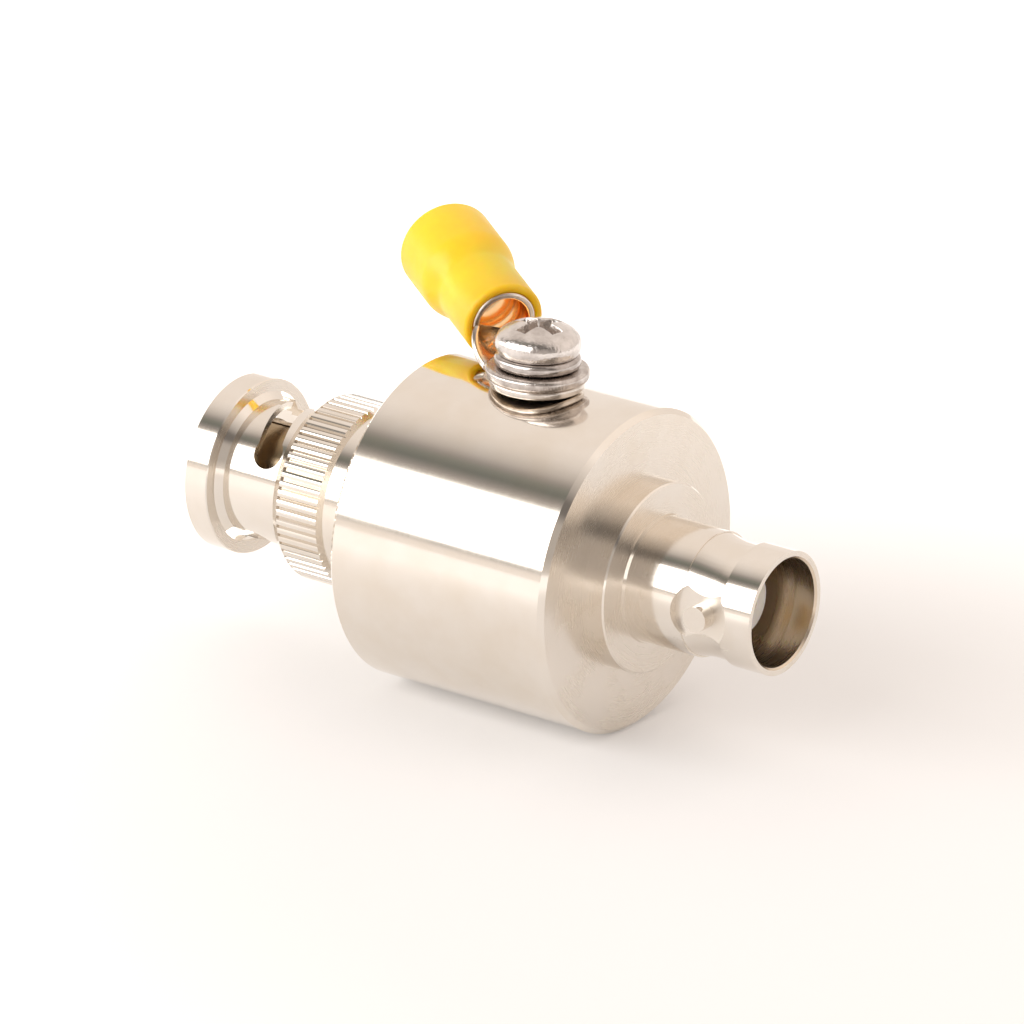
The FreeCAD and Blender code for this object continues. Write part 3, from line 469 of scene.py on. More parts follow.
# Turned fluoropolymer: waxy white
FLUOROPOLYMER = TurnedFinish("turned_fluoropolymer", "#F4F2EC", "#E9E6DE", 0.42, 0.06, metallic=0.0,
                             grain_mm=0.25, grain_depth=0.03, ior=1.36, subsurface=0.25, facing=0.0)
# Cold-formed stainless steel, tumbled: neutral, bright, slightly uneven
SCREW_STEEL = Finish("stainless_steel_tumbled", "#DCD5D0", "#BDB5AF", 0.07, 0.04, grain_mm=0.5,
                     grain_depth=0.12, patch_mm=1.4)
# Spring strip bent on edge into a washer and tumbled: darker than the screw, with soft highlights
LOCK_STEEL = Finish("stainless_spring_washer", "#C9C1BC", "#9F9690", 0.12, 0.05, grain_mm=0.4,
                    grain_depth=0.05, patch_mm=1.2)
# Blanked washer: its edge keeps the shear marks
WASHER_STEEL = Finish("stainless_steel_blanked", "#CFC7C1", "#A59B94", 0.22, 0.08, grain=Grain.SHEARED,
                      grain_mm=0.16, grain_depth=0.14, patch_mm=0.9)
# Rolled spring strip inside the nut: grey and dull, streaked along the strip
SPRING_STEEL = Finish("spring_steel_strip", "#B8B4B0", "#98938E", 0.28, 0.06, grain=Grain.ROLLED,
                      grain_depth=0.04)
# Electro-tinned copper sheet: soft white outside, the copper's orange in the brazed barrel
TIN = Finish("tinned_copper_sheet", "#DAD2CA", "#BDB2A7", 0.2, 0.07, grain_mm=0.35, grain_depth=0.05,
             patch_mm=1.6, inside="#FACD92")
# Plated iron-nickel caps of the gas tube: an even, silky grey
CAP_NICKEL = Finish("plated_electrode_cap", "#D8D2CA", "#C9C2B8", 0.2, 0.05, grain_depth=0.03)
# Glazed alumina of the gas tube: white with a soft gloss
ALUMINA = Finish("glazed_alumina", "#F1EEE6", "#E6E1D6", 0.32, 0.05, metallic=0.0, grain_mm=0.2, ior=1.7)
# Moulded nitrile seal: dull black
NITRILE = Finish("moulded_nitrile", "#1B1B1B", "#262524", 0.55, 0.08, metallic=0.0, grain_mm=0.15,
                 grain_depth=0.05, ior=1.52)
# Extruded vinyl, flared by heat: soft gloss, and light soaks deep into it; its crimped end is painted a
# deeper orange as shade
VINYL = Finish("extruded_yellow_vinyl", "#FFCF12", "#FFC60A", 0.4, 0.05, metallic=0.0, grain_mm=0.8,
               patch_mm=5.0, ior=1.53, subsurface=1.0, soak_mm=1.5, inside="#FFBC10")


@dataclass(frozen=True)
class Studio:
    """Pale floor, a wall of soft light and the camera.

    The light is a function of the angle about the connector's axis: a pale warm room behind and above, a
    darker strip, and then a wide window on the camera's side. The window ends beyond the jack, where
    the far side's stops take over. Angles are degrees from straight up, positive towards the camera's
    side. Each stop is an angle, a light level and a colour. The floor's lift is painted light for the eye and
    the metal alone; it grows with the distance from a middle near the object, set towards the side where
    its shadow falls, so the floor near the object stays darker as painted shadow. The camera's place is in
    millimetres.
    """

    strength: float = 3.8
    warm: str = "#FAF0E8"
    room: tuple[tuple[float, float, str], ...] = (
        (-180.0, 1.08, "warm"), (-92.0, 1.08, "warm"), (-20.0, 1.11, "warm"), (-6.0, 1.08, "warm"),
        (4.0, 0.96, "warm"), (10.0, 0.82, "warm"), (16.0, 0.65, "warm"), (21.0, 0.41, "warm"),
        (25.0, 0.30, "#F4F4E6"), (30.0, 0.22, "#F4F6EA"), (35.0, 0.38, "warm"), (40.4, 0.75, "warm"),
        (41.4, 3.8, "#FFFFFF"), (81.2, 3.8, "#FFFFFF"), (82.2, 0.48, "warm"), (83.6, 0.58, "warm"),
        (86.5, 1.16, "warm"), (91.0, 1.16, "warm"), (180.0, 1.08, "warm"),
    )
    far_side: tuple[tuple[float, float, str], ...] = (
        (-180.0, 1.0, "warm"), (-95.0, 0.9, "warm"), (-60.0, 1.25, "warm"), (-15.0, 1.25, "warm"),
        (12.0, 0.6, "warm"), (24.0, 0.22, "warm"), (34.0, 0.22, "warm"), (44.0, 0.6, "warm"),
        (75.0, 0.6, "warm"), (92.0, 0.9, "warm"), (180.0, 1.0, "warm"),
    )
    far_from: float = 0.35
    floor_width: float = 6.0
    floor_colour: str = "#E9E6E4"
    cloud_mm: float = 71.43
    cloud_shift: tuple[float, float, float] = (0.99, 0.995, 1.0)
    lift_near: float = 0.14
    lift_far: float = 0.5
    lift_from: float = 40.0
    lift_to: float = 120.0
    middle: tuple[float, float] = (20.0, -8.0)
    camera_at: tuple[float, float, float] = (321.063, -493.465, 225.919)
    camera_right: tuple[float, float, float] = (0.811589, 0.583425, 0.030626)
    camera_up: tuple[float, float, float] = (-0.226636, 0.266086, 0.936928)
    camera_back: tuple[float, float, float] = (0.538478, -0.767342, 0.348177)
    lens_mm: float = 295.83

    def light_round_axis(self, tree: bpy.types.NodeTree, share: bpy.types.NodeSocket,
                         levels: Sequence[tuple[float, float, str]]) -> bpy.types.NodeSocket:
        """Gives the light from each angle about the axis: straight lines between the stops.

        Args:
            tree: the world's node tree.
            share: the angle, from 0 at -180 degrees to 1 at 180.
            levels: the stops.

        Returns:
            The colour, in shares of the world's strength.
        """
        ramp = add_node(tree, "ShaderNodeValToRGB", {"Fac": share})
        stops = ramp.color_ramp.elements
        while len(stops) < len(levels):
            stops.new(0.5)
        for stop, (degrees, level, colour) in zip(stops, levels):
            stop.position = (degrees + 180.0) / 360.0
            tone = linear(self.warm if colour == "warm" else colour)
            stop.color = tuple(c * level / self.strength for c in tone[:3]) + (1.0,)
        return ramp.outputs["Color"]

    def light(self) -> None:
        """Lights the scene with the room around it."""
        world = bpy.data.worlds.new("soft_room")
        bpy.context.scene.world = world
        world.use_nodes = True
        tree = world.node_tree
        tree.nodes.clear()
        way = add_node(tree, "ShaderNodeTexCoord").outputs["Generated"]
        parts = add_node(tree, "ShaderNodeSeparateXYZ", {"Vector": way})
        side = add_node(tree, "ShaderNodeMath", {0: parts.outputs["Y"], 1: -1.0}, operation="MULTIPLY")
        angle = add_node(tree, "ShaderNodeMath", {0: side.outputs["Value"], 1: parts.outputs["Z"]},
                         operation="ARCTAN2")
        share = add_node(tree, "ShaderNodeMapRange", {"Value": angle.outputs["Value"], "From Min": -math.pi,
                                                      "From Max": math.pi})
        near = self.light_round_axis(tree, share.outputs["Result"], self.room)
        far = self.light_round_axis(tree, share.outputs["Result"], self.far_side)
        ahead = add_node(tree, "ShaderNodeMapRange", {
            "Value": parts.outputs["X"], "From Min": 0.0, "From Max": self.far_from},
            interpolation_type="SMOOTHSTEP")
        colour = add_node(tree, "ShaderNodeMix", {"Factor": ahead.outputs["Result"], 6: near, 7: far},
                          data_type="RGBA").outputs[2]
        back = add_node(tree, "ShaderNodeBackground", {"Color": colour, "Strength": self.strength})
        add_node(tree, "ShaderNodeOutputWorld", {"Surface": back.outputs["Background"]})

    def lay_floor(self, level: float) -> bpy.types.Object:
        """Lays the pale floor, which the eye and the metal see brighten to white away from the object.

        Args:
            level: height of the floor in metres.

        Returns:
            The floor's object.
        """
        half = self.floor_width / 2.0
        corners = [(x * half, y * half, level) for x, y in ((-1, -1), (1, -1), (1, 1), (-1, 1))]
        mesh = bpy.data.meshes.new("floor")
        mesh.from_pydata(corners, [], [(0, 1, 2, 3)])
        floor = bpy.data.objects.new("floor", mesh)
        bpy.context.scene.collection.objects.link(floor)
        material, tree = new_material("white_card")
        place = add_node(tree, "ShaderNodeTexCoord").outputs["Object"]
        cloud = add_node(tree, "ShaderNodeTexNoise", {"Vector": place, "Scale": 1.0 / (self.cloud_mm * MM),
                                                      "Detail": 1.0})
        share = add_node(tree, "ShaderNodeMapRange", {"Value": cloud.outputs["Fac"], "From Min": 0.4,
                                                      "From Max": 0.65})
        tone = linear(self.floor_colour)
        cooler = tuple(c * shift for c, shift in zip(tone, self.cloud_shift)) + (1.0,)
        colour = add_node(tree, "ShaderNodeMix", {"Factor": share.outputs["Result"], 6: tone, 7: cooler},
                          data_type="RGBA").outputs[2]
        # Painted shadow: the floor's painted light is least round this middle, set towards the side where the
        # object's shadow falls
        middle = (self.middle[0] * MM, self.middle[1] * MM, level)
        away = add_node(tree, "ShaderNodeVectorMath", {0: place, 1: middle}, operation="DISTANCE")
        lift = add_node(tree, "ShaderNodeMapRange", {
            "Value": away.outputs["Value"], "From Min": self.lift_from * MM, "From Max": self.lift_to * MM,
            "To Min": self.lift_near, "To Max": self.lift_far}, interpolation_type="SMOOTHSTEP")
        path = add_node(tree, "ShaderNodeLightPath")
        seen = path.outputs["Is Camera Ray"]
        for kind in ("Is Glossy Ray", "Is Transmission Ray"):
            seen = add_node(tree, "ShaderNodeMath", {0: seen, 1: path.outputs[kind]},
                            operation="MAXIMUM").outputs["Value"]
        shown = add_node(tree, "ShaderNodeMath", {0: seen, 1: lift.outputs["Result"]},
                         operation="MULTIPLY")
        matt = add_node(tree, "ShaderNodeBsdfDiffuse", {"Color": colour})
        glow = add_node(tree, "ShaderNodeEmission", {"Color": linear("#FFFFFF"),
                                                     "Strength": shown.outputs["Value"]})
        both = add_node(tree, "ShaderNodeAddShader", {0: matt.outputs["BSDF"], 1: glow.outputs["Emission"]})
        add_node(tree, "ShaderNodeOutputMaterial", {"Surface": both.outputs["Shader"]})
        mesh.materials.append(material)
        return floor

    def place_camera(self) -> None:
        """Puts the camera where the photograph was taken from."""
        data = bpy.data.cameras.new("camera")
        data.lens = self.lens_mm
        data.sensor_width = 36.0
        data.clip_start = 0.02
        data.clip_end = 20.0
        camera = bpy.data.objects.new("camera", data)
        bpy.context.scene.collection.objects.link(camera)
        pose = Matrix((self.camera_right, self.camera_up, self.camera_back)).transposed().to_4x4()
        pose.translation = Vector(self.camera_at) * MM
        camera.matrix_world = pose
        bpy.context.scene.camera = camera


@dataclass
class Skin:
    """One closed surface on a grid: rows of points, each row a closed loop.

    Attributes:
        points: rows, places round the loop, and coordinates in millimetres.
        wrap: whether the last row joins the first; if not, fans close both ends.
        inside: share of inner surface at each point; on the vinyl sleeve, the share of painted shade.
    """

    points: np.ndarray
    wrap: bool = True
    inside: Optional[np.ndarray] = None

    def faces(self) -> tuple[np.ndarray, list[list[int]]]:
        """Works out vertices and faces that point outwards.

        A quad joins rows i and i + 1, places j and j + 1. The volume under the faces, the sum of their
        triple products, tells which way they point.

        Returns:
            Vertices in millimetres and the faces' corners.
        """
        rows, around = self.points.shape[:2]
        i, j = np.meshgrid(np.arange(rows if self.wrap else rows - 1), np.arange(around), indexing="ij")
        below, beside = (i + 1) % rows, (j + 1) % around
        quads = np.stack([i * around + j, below * around + j,
                          below * around + beside, i * around + beside], -1).reshape(-1, 4)
        vertices = self.points.reshape(-1, 3)
        fans = np.zeros((0, 3), dtype=int)
        if not self.wrap:
            step = np.arange(around)
            after = (step + 1) % around
            for row, first, second in ((0, step, after), (rows - 1, after, step)):
                centre = np.full(around, len(vertices))
                vertices = np.vstack([vertices, self.points[row].mean(axis=0)])
                fans = np.vstack([fans, np.stack([centre, row * around + first, row * around + second], -1)])
        a, b, c, d = (vertices[quads[:, k]] for k in range(4))
        volume = np.einsum("ij,ij->", a, np.cross(b, c)) + np.einsum("ij,ij->", a, np.cross(c, d))
        if volume < 0.0:
            quads, fans = quads[:, ::-1], fans[:, ::-1]
        return vertices, quads.tolist() + fans.tolist()


def make_piece(name: str, skins: Sequence[Skin]) -> bpy.types.Object:
    """Puts one or more closed surfaces into one smooth object.

    Args:
        name: the object's name.
        skins: the surfaces.

    Returns:
        The new object, linked to the scene.
    """
    vertices, faces, inner = np.zeros((0, 3)), [], np.zeros(0, dtype=np.float32)
    for skin in skins:
        own, corners = skin.faces()
        share = np.zeros(len(own), dtype=np.float32)
        if skin.inside is not None:
            share[:skin.inside.size] = skin.inside.reshape(-1)
        faces += [[k + len(vertices) for k in face] for face in corners]
        vertices, inner = np.vstack([vertices, own]), np.concatenate([inner, share])
    mesh = bpy.data.meshes.new(name)
    mesh.from_pydata((vertices * MM).tolist(), [], faces)
    mesh.polygons.foreach_set("use_smooth", np.ones(len(mesh.polygons), dtype=bool))
    mesh.attributes.new("inside", "FLOAT", "POINT").data.foreach_set("value", inner)
    mesh.update()
    piece = bpy.data.objects.new(name, mesh)
    bpy.context.scene.collection.objects.link(piece)
    return piece


def rounded_box(low: Sequence[float], high: Sequence[float], radii: Sequence[float], arc: int = 6,
                run: int = 1) -> np.ndarray:
    """Works out the closed outline of a rectangle whose corners are quarter circles.

    Args:
        low: least first and second coordinate.
        high: greatest first and second coordinate.
        radii: corner radii, from the low-low corner on, counter-clockwise.
        arc: steps per corner.
        run: steps per straight side.

    Returns:
        Points round the outline.
    """
    centres = [(low[0] + radii[0], low[1] + radii[0]), (high[0] - radii[1], low[1] + radii[1]),
               (high[0] - radii[2], high[1] - radii[2]), (low[0] + radii[3], high[1] - radii[3])]
    corners = []
    for k, ((u, v), radius) in enumerate(zip(centres, radii)):
        turn = np.linspace(math.pi, 1.5 * math.pi, arc + 1) + k * math.pi / 2.0
        corners.append(np.stack([u + radius * np.cos(turn), v + radius * np.sin(turn)], -1))
    share = np.linspace(0.0, 1.0, run + 1)[1:-1, None]
    sides = [corners[k][-1] + (corners[(k + 1) % 4][0] - corners[k][-1]) * share for k in range(4)]
    return np.vstack([part for pair in zip(corners, sides) for part in pair])


def upright_ring(outline: np.ndarray, x: float, around: int) -> np.ndarray:
    """Carries an outline of (radius, height) points once round a vertical axis.

    Args:
        outline: points of the outline.
        x: the axis's place.
        around: stations round the axis.

    Returns:
        Points as outline places, stations, coordinates.
    """
    turn = np.linspace(0.0, TURN, around, endpoint=False)
    radius = outline[:, 0][:, None]
    height = np.broadcast_to(outline[:, 1][:, None], (len(outline), around))
    return np.stack([x + radius * np.cos(turn), radius * np.sin(turn), height], -1)


def level_ring(outline: np.ndarray, around: int) -> np.ndarray:
    """Carries an outline of (place along X, radius) points once round the X axis.

    Args:
        outline: points of the outline.
        around: stations round the axis.

    Returns:
        Points as outline places, stations, coordinates.
    """
    turn = np.linspace(0.0, TURN, around, endpoint=False)
    radius = outline[:, 1][:, None]
    along = np.broadcast_to(outline[:, 0][:, None], (len(outline), around))
    return np.stack([along, radius * np.cos(turn), radius * np.sin(turn)], -1)


@dataclass
class Assembly:
    """A sub-assembly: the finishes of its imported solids, and the new pieces that its heirs make."""

    finishes: dict[Finish, tuple[str, ...]]
    frame: dict = field(repr=False)
    library: dict[Finish, bpy.types.Material] = field(repr=False)

    def material(self, finish: Finish) -> bpy.types.Material:
        """Gives the finish's material, which is made once.

        Args:
            finish: the finish.

        Returns:
            Its material.
        """
        if finish not in self.library:
            self.library[finish] = finish.build()
        return self.library[finish]

    def dress(self) -> None:
        """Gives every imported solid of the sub-assembly its finish."""
        for finish, names in self.finishes.items():
            for name in names:
                solid = self.frame["nodes"][name]
                if not solid.material_slots:
                    solid.data.materials.append(None)
                for place in solid.material_slots:
                    place.material = self.material(finish)
                LOG.info("%s: %s", name, finish.name)

    def add(self, piece: bpy.types.Object, finish: Finish, body: str, slot: str, node: str) -> None:
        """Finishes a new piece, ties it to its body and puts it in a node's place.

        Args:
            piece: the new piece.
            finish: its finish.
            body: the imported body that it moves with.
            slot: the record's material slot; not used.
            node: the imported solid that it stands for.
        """
        piece.data.materials.append(self.material(finish))
        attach(piece, body)
        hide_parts(node)
        LOG.info("%s: %s on %s", piece.name, finish.name, body)

    def build(self) -> None:
        """Dresses the sub-assembly; heirs also make their new pieces."""
        self.dress()


@dataclass
class GroundStud(Assembly):
    """Pan-head screw with its two captive washers.

    Heights are above the connector's axis; the head's and the shank's own are above the head's underside.
    """

    station: float = -23.3
    around: int = 320
    head_z: float = 15.44
    head_radius: float = 3.31
    base_radius: float = 3.12
    head_height: float = 2.38
    belly: float = 0.3
    roll: float = 2.25
    crown_edge: float = 2.15
    crown_rows: int = 118
    shoulder_rows: int = 25
    side_rows: int = 13
    pole_gap: float = 0.015
    corner: float = 0.05
    seat_radius: float = 2.6
    shank_radius: float = 1.97
    root_radius: float = 1.64
    pitch: float = 0.7
    length: float = 6.0
    tip_chamfer: float = 0.4
    thread_rows: int = 90
    thread_ends: float = 0.02
    flank: float = 1.35
    crest: float = 0.1
    runout: float = 0.35
    wing_half_width: float = 0.58
    wing_span: float = 2.05
    recess_depth: float = 1.45
    wall_slope: float = 6.0
    end_slope: float = 2.1
    core_radius: float = 0.95
    core_slope: float = 2.6
    lip: float = 0.1
    recess_turn: float = 80.0
    recess_end: float = 2.6
    recess_fade: float = 0.3
    flat_z: tuple[float, float] = (13.46, 14.345)
    flat_radii: tuple[float, float] = (2.12, 4.0)
    flat_corners: tuple[float, ...] = (0.1, 0.3, 0.34, 0.14)
    lock_z: tuple[float, float] = (14.365, 15.41)
    lock_radii: tuple[float, float] = (2.1, 3.32)
    lock_corners: tuple[float, ...] = (0.16, 0.46, 0.46, 0.16)
    lock_stations: int = 150
    split_at: float = 130.0
    split_mm: float = 0.35
    split_lean: float = 0.16

    def recess(self, across: np.ndarray, along: np.ndarray) -> np.ndarray:
        """Works out the depth of the driver's cross.

        Each wing is the least of its floor, side walls and sloped ends; the core is a cone; the deepest of
        the three counts, and a rounded corner turns it into the lip.

        Args:
            across: distance across the first wing.
            along: distance along the first wing.

        Returns:
            Depth at each point, near zero outside the cross.
        """
        def wing(u: np.ndarray, v: np.ndarray) -> np.ndarray:
            """Gives the depth of the wing that runs along v.

            Args:
                u: distance across the wing.
                v: distance along it.

            Returns:
                Its depth at each point, negative outside it.
            """
            side = (self.wing_half_width - np.abs(u)) * self.wall_slope
            end = (self.wing_span - np.abs(v)) * self.end_slope
            return np.minimum(np.minimum(side, end), self.recess_depth)

        core = np.minimum((self.core_radius - np.hypot(across, along)) * self.core_slope, self.recess_depth)
        deep = np.maximum(np.maximum(wing(across, along), wing(along, across)), core)
        return 0.5 * (deep + np.sqrt(deep ** 2 + self.lip ** 2))

    def head_rows(self) -> tuple[np.ndarray, np.ndarray]:
        """Works out radius and height down the head.

        Above the belly it is a superellipse of the radius and the height; below, the side draws in with
        the square of the distance from the belly, and a small corner leads to the flat underside.

        Returns:
            Radius and height of each row, from the crown's centre to the underside's inner edge.
        """
        belly_z = self.belly * self.head_height
        rise = self.head_height - belly_z
        crown = np.linspace(self.pole_gap, self.crown_edge, self.crown_rows)
        crown_z = belly_z + rise * (1.0 - (crown / self.head_radius) ** self.roll) ** (1.0 / self.roll)
        first = math.asin((self.crown_edge / self.head_radius) ** (self.roll / 2.0))
        lean = np.linspace(first, math.pi / 2.0, self.shoulder_rows + 1)[1:]
        shoulder = self.head_radius * np.sin(lean) ** (2.0 / self.roll)
        shoulder_z = belly_z + rise * np.clip(np.cos(lean), 0.0, None) ** (2.0 / self.roll)
        share = np.linspace(0.0, 1.0, self.side_rows + 1)[1:]
        side = self.head_radius - (self.head_radius - self.base_radius) * share ** 2
        side_z = belly_z * (1.0 - share) + self.corner * share
        under = np.array([self.base_radius - 0.4 * self.corner, self.base_radius - 1.4 * self.corner,
                          self.seat_radius, self.shank_radius])
        under_z = np.array([0.3 * self.corner, 0.0, 0.0, 0.0])
        return (np.concatenate([crown, shoulder, side, under]),
                np.concatenate([crown_z, shoulder_z, side_z, under_z]))

    def screw(self) -> bpy.types.Object:
        """Makes the screw as rows round its axis: the cross sinks the crown, the thread follows a helix.

        The thread's depth is a clipped triangle wave of the height less the helix's rise at that angle. It
        fades out under the head and at the bevelled tip.

        Returns:
            The screw.
        """
        turn = np.linspace(0.0, TURN, self.around, endpoint=False)
        head_r, head_z = self.head_rows()
        radius = np.repeat(head_r[:, None], self.around, axis=1)
        height = np.repeat(head_z[:, None], self.around, axis=1)
        aim = turn[None, :] - math.radians(self.recess_turn)
        sunk = self.recess(radius * np.cos(aim), radius * np.sin(aim))
        fade = np.clip((self.recess_end - radius) / self.recess_fade, 0.0, 1.0)
        height = height - sunk * fade * (height > self.belly * self.head_height)
        down = np.linspace(-self.thread_ends, -(self.length - self.thread_ends), self.thread_rows)
        wave = np.abs(((down[:, None] / self.pitch - turn[None, :] / TURN) % 1.0) - 0.5) * 2.0
        shape = np.clip(wave * self.flank - self.crest, 0.0, 1.0)
        fade = np.clip((-down - self.runout) / self.runout, 0.0, 1.0)[:, None]
        bevel = np.clip(down + self.length, 0.0, self.tip_chamfer)[:, None]
        limit = self.shank_radius - self.tip_chamfer + bevel
        thread = np.minimum(self.shank_radius - (self.shank_radius - self.root_radius) * shape * fade, limit)
        radius = np.vstack([radius, thread])
        height = np.vstack([height, np.repeat(down[:, None], self.around, axis=1)]) + self.head_z
        points = np.stack([self.station + radius * np.cos(turn), radius * np.sin(turn), height], -1)
        return make_piece("pan_head_screw", [Skin(points, wrap=False)])

    def lock_washer(self) -> bpy.types.Object:
        """Makes the split washer: a rounded section carried round an open ring whose split leans.

        Returns:
            The washer.
        """
        section = rounded_box((self.lock_radii[0], self.lock_z[0]), (self.lock_radii[1], self.lock_z[1]),
                              self.lock_corners, arc=7, run=2)
        gap = self.split_mm / self.lock_radii[1] / 2.0
        start = math.radians(self.split_at) + gap
        turn = np.linspace(start, start + TURN - 2.0 * gap, self.lock_stations)[:, None]
        turn = turn + self.split_lean * (section[:, 1] - sum(self.lock_z) / 2.0)[None, :]
        points = np.stack([self.station + section[:, 0] * np.cos(turn), section[:, 0] * np.sin(turn),
                           np.broadcast_to(section[:, 1], turn.shape)], -1)
        return make_piece("split_lock_washer", [Skin(points, wrap=False)])

    def plain_washer(self) -> bpy.types.Object:
        """Makes the flat washer: a section with a rolled outer edge, carried once round.

        Returns:
            The washer.
        """
        section = rounded_box((self.flat_radii[0], self.flat_z[0]), (self.flat_radii[1], self.flat_z[1]),
                              self.flat_corners, arc=6, run=2)
        return make_piece("plain_washer", [Skin(upright_ring(section, self.station, STATIONS))])

    def build(self) -> None:
        """Makes the screw and its washers."""
        self.add(self.screw(), SCREW_STEEL, "screw", "screw_steel", "ground_screw")
        self.add(self.lock_washer(), LOCK_STEEL, "captive_washers", "screw_steel", "spring_lock_washer")
        self.add(self.plain_washer(), WASHER_STEEL, "captive_washers", "screw_steel", "flat_washer")


@dataclass
class WireTerminal(Assembly):
    """Ring terminal with its crimp barrel and vinyl sleeve, laid out along +X and then turned into place.

    The strip runs from the ring, as the tongue, to the barrel's lower half. Lengths on the barrel and
    sleeve are along the barrel's lifted axis, from its front rim.
    """

    station: float = -23.3
    base_z: float = 12.73
    turn_deg: float = 148.0
    lift_deg: float = 10.5
    sheet: float = 0.7
    hole_radius: float = 2.15
    ring_radius: float = 3.65
    ring_corners: tuple[float, ...] = (0.08, 0.2, 0.28, 0.12)
    tongue_width: float = 5.4
    tongue_start: float = 2.75
    tongue_end: float = 4.2
    tongue_step: float = 0.25
    tongue_rows: int = 6
    curl_rows: int = 42
    least_curl: float = 0.002
    rise_power: float = 1.5
    strip_ease: float = 0.01
    strip_corner: float = 0.7
    copper_from: float = 0.04
    copper_gain: float = 4.0
    copper_side: float = 0.6
    strip_lap: tuple[float, ...] = (0.15, 0.3)
    barrel_start: float = 6.75
    barrel_rise: float = 2.8
    barrel_radius: float = 2.55
    bore_radius: float = 2.0
    barrel_length: float = 6.6
    barrel_rim: float = 0.14
    barrel_rim_corner: float = 0.04
    barrel_ring: float = 3.0
    barrel_stations: int = 144
    copper_reach: float = 0.12
    grooves: tuple[float, ...] = (1.5, 3.1)
    groove_half_width: float = 0.12
    groove_depth: float = 0.09
    sleeve_setback: float = 0.05
    sleeve_radius: float = 3.2
    bell_radius: float = 3.8
    bell_bore: float = 3.1
    neck_length: float = 5.2
    shoulder_length: float = 2.6
    sleeve_length: float = 12.5
    sleeve_stations: int = 160
    nose_rim: float = 0.3
    bell_rim: float = 0.4
    bore_rim: float = 0.12
    neck_rings: tuple[float, ...] = (1.5, 3.5)
    bell_ring: float = 2.0
    snug_gap: float = 0.005
    barrel_gap: float = 0.06
    funnel_length: float = 3.0
    painted_shade_end: float = 3.5

    def place(self, points: np.ndarray, lifted: bool = False) -> np.ndarray:
        """Moves points from the flat layout to their place under the washers.

        Args:
            points: coordinates in the last axis.
            lifted: whether the points lie along the barrel's own lifted axis.

        Returns:
            The moved points.
        """
        if lifted:
            c, s = math.cos(math.radians(self.lift_deg)), math.sin(math.radians(self.lift_deg))
            x, y, z = points[..., 0], points[..., 1], points[..., 2]
            points = np.stack([self.barrel_start + x * c - z * s, y, self.barrel_rise + x * s + z * c], -1)
        c, s = math.cos(math.radians(self.turn_deg)), math.sin(math.radians(self.turn_deg))
        x, y, z = points[..., 0], points[..., 1], points[..., 2]
        return np.stack([self.station + x * c - y * s, x * s + y * c, self.base_z + z], -1)

    def ring(self) -> Skin:
        """Works out the ring round the screw: a rounded section carried once round.

        Returns:
            The surface.
        """
        section = rounded_box((self.hole_radius, 0.0), (self.ring_radius, self.sheet), self.ring_corners,
                              arc=6, run=2)
        return Skin(self.place(upright_ring(section, 0.0, STATIONS)))

    def strip(self) -> Skin:
        """Works out the tongue and scoop: a rounded section that starts flat and curls up to half a barrel.

        The share of curl grows from 0 at the tongue to 1 at the barrel. A point of the section has a length
        along the strip's middle line and an offset from it; the middle line's curvature is the share over
        the barrel's middle radius. The place runs straight, and its height grows with a power of the share.
        The inner side counts as inside, more and more beyond the tongue.

        Returns:
            The surface, marked on its inner side.
        """
        middle = (self.barrel_radius + self.bore_radius) / 2.0
        lift = math.radians(self.lift_deg)
        start = np.array([self.tongue_end, 0.0, self.sheet / 2.0])
        end = np.array([self.barrel_start + middle * math.sin(lift), 0.0,
                        self.barrel_rise - middle * math.cos(lift)])
        tongue = [(0.0, self.tongue_start - self.tongue_end + self.tongue_step * k, 0.0)
                  for k in range(self.tongue_rows)]
        curling = [(share, 0.0, 0.0) for share in np.linspace(0.0, 1.0, self.curl_rows)]
        lapping = [(1.0, 0.0, beyond) for beyond in self.strip_lap]
        rows, inner = [], []
        for share, before, beyond in tongue + curling + lapping:
            sheet = (1.0 - share) * self.sheet + share * (self.barrel_radius - self.bore_radius)
            half_sheet = sheet / 2.0 - self.strip_ease
            half_strip = (1.0 - share) * self.tongue_width / 2.0 + share * middle * math.pi / 2.0
            section = rounded_box((-half_strip, -half_sheet), (half_strip, half_sheet),
                                  (self.strip_corner * half_sheet,) * 4, run=32)
            curl = max(share, self.least_curl) / middle
            reach = 1.0 / curl - section[:, 1]
            y = reach * np.sin(curl * section[:, 0])
            z = section[:, 1] + reach * (1.0 - np.cos(curl * section[:, 0]))
            centre = start + (end - start) * share
            centre[0] += before + beyond * math.cos(lift)
            centre[2] = start[2] + (end[2] - start[2]) * share ** self.rise_power + beyond * math.sin(lift)
            rows.append(np.stack([centre[0] - z * math.sin(lift * share), y,
                                  centre[2] + z * math.cos(lift * share)], -1))
            bared = float(np.clip((share - self.copper_from) * self.copper_gain, 0.0, 1.0))
            inner.append((section[:, 1] > self.copper_side * half_sheet) * bared)
        return Skin(self.place(np.array(rows)), wrap=False, inside=np.array(inner))

    def barrel(self) -> Skin:
        """Works out the crimp barrel: a tube with an eased rim and fine grooves in its bore.

        Returns:
            The surface, marked in its bore.
        """
        outer, bore = self.barrel_radius, self.bore_radius
        rim, corner = self.barrel_rim, self.barrel_rim_corner
        outline = [(rim, outer), (corner, outer - corner), (0.0, outer - rim), (0.0, bore + rim),
                   (corner, bore + corner), (rim, bore)]
        for groove in self.grooves:
            outline += [(groove - self.groove_half_width, bore), (groove, bore + self.groove_depth),
                        (groove + self.groove_half_width, bore)]
        outline += [(self.barrel_length, bore), (self.barrel_length, outer), (self.barrel_ring, outer)]
        line = np.array(outline)
        points = level_ring(line, self.barrel_stations)
        inner = np.broadcast_to(line[:, 1:] < bore + self.copper_reach, points.shape[:2])
        return Skin(self.place(points, lifted=True), inside=inner.astype(float))

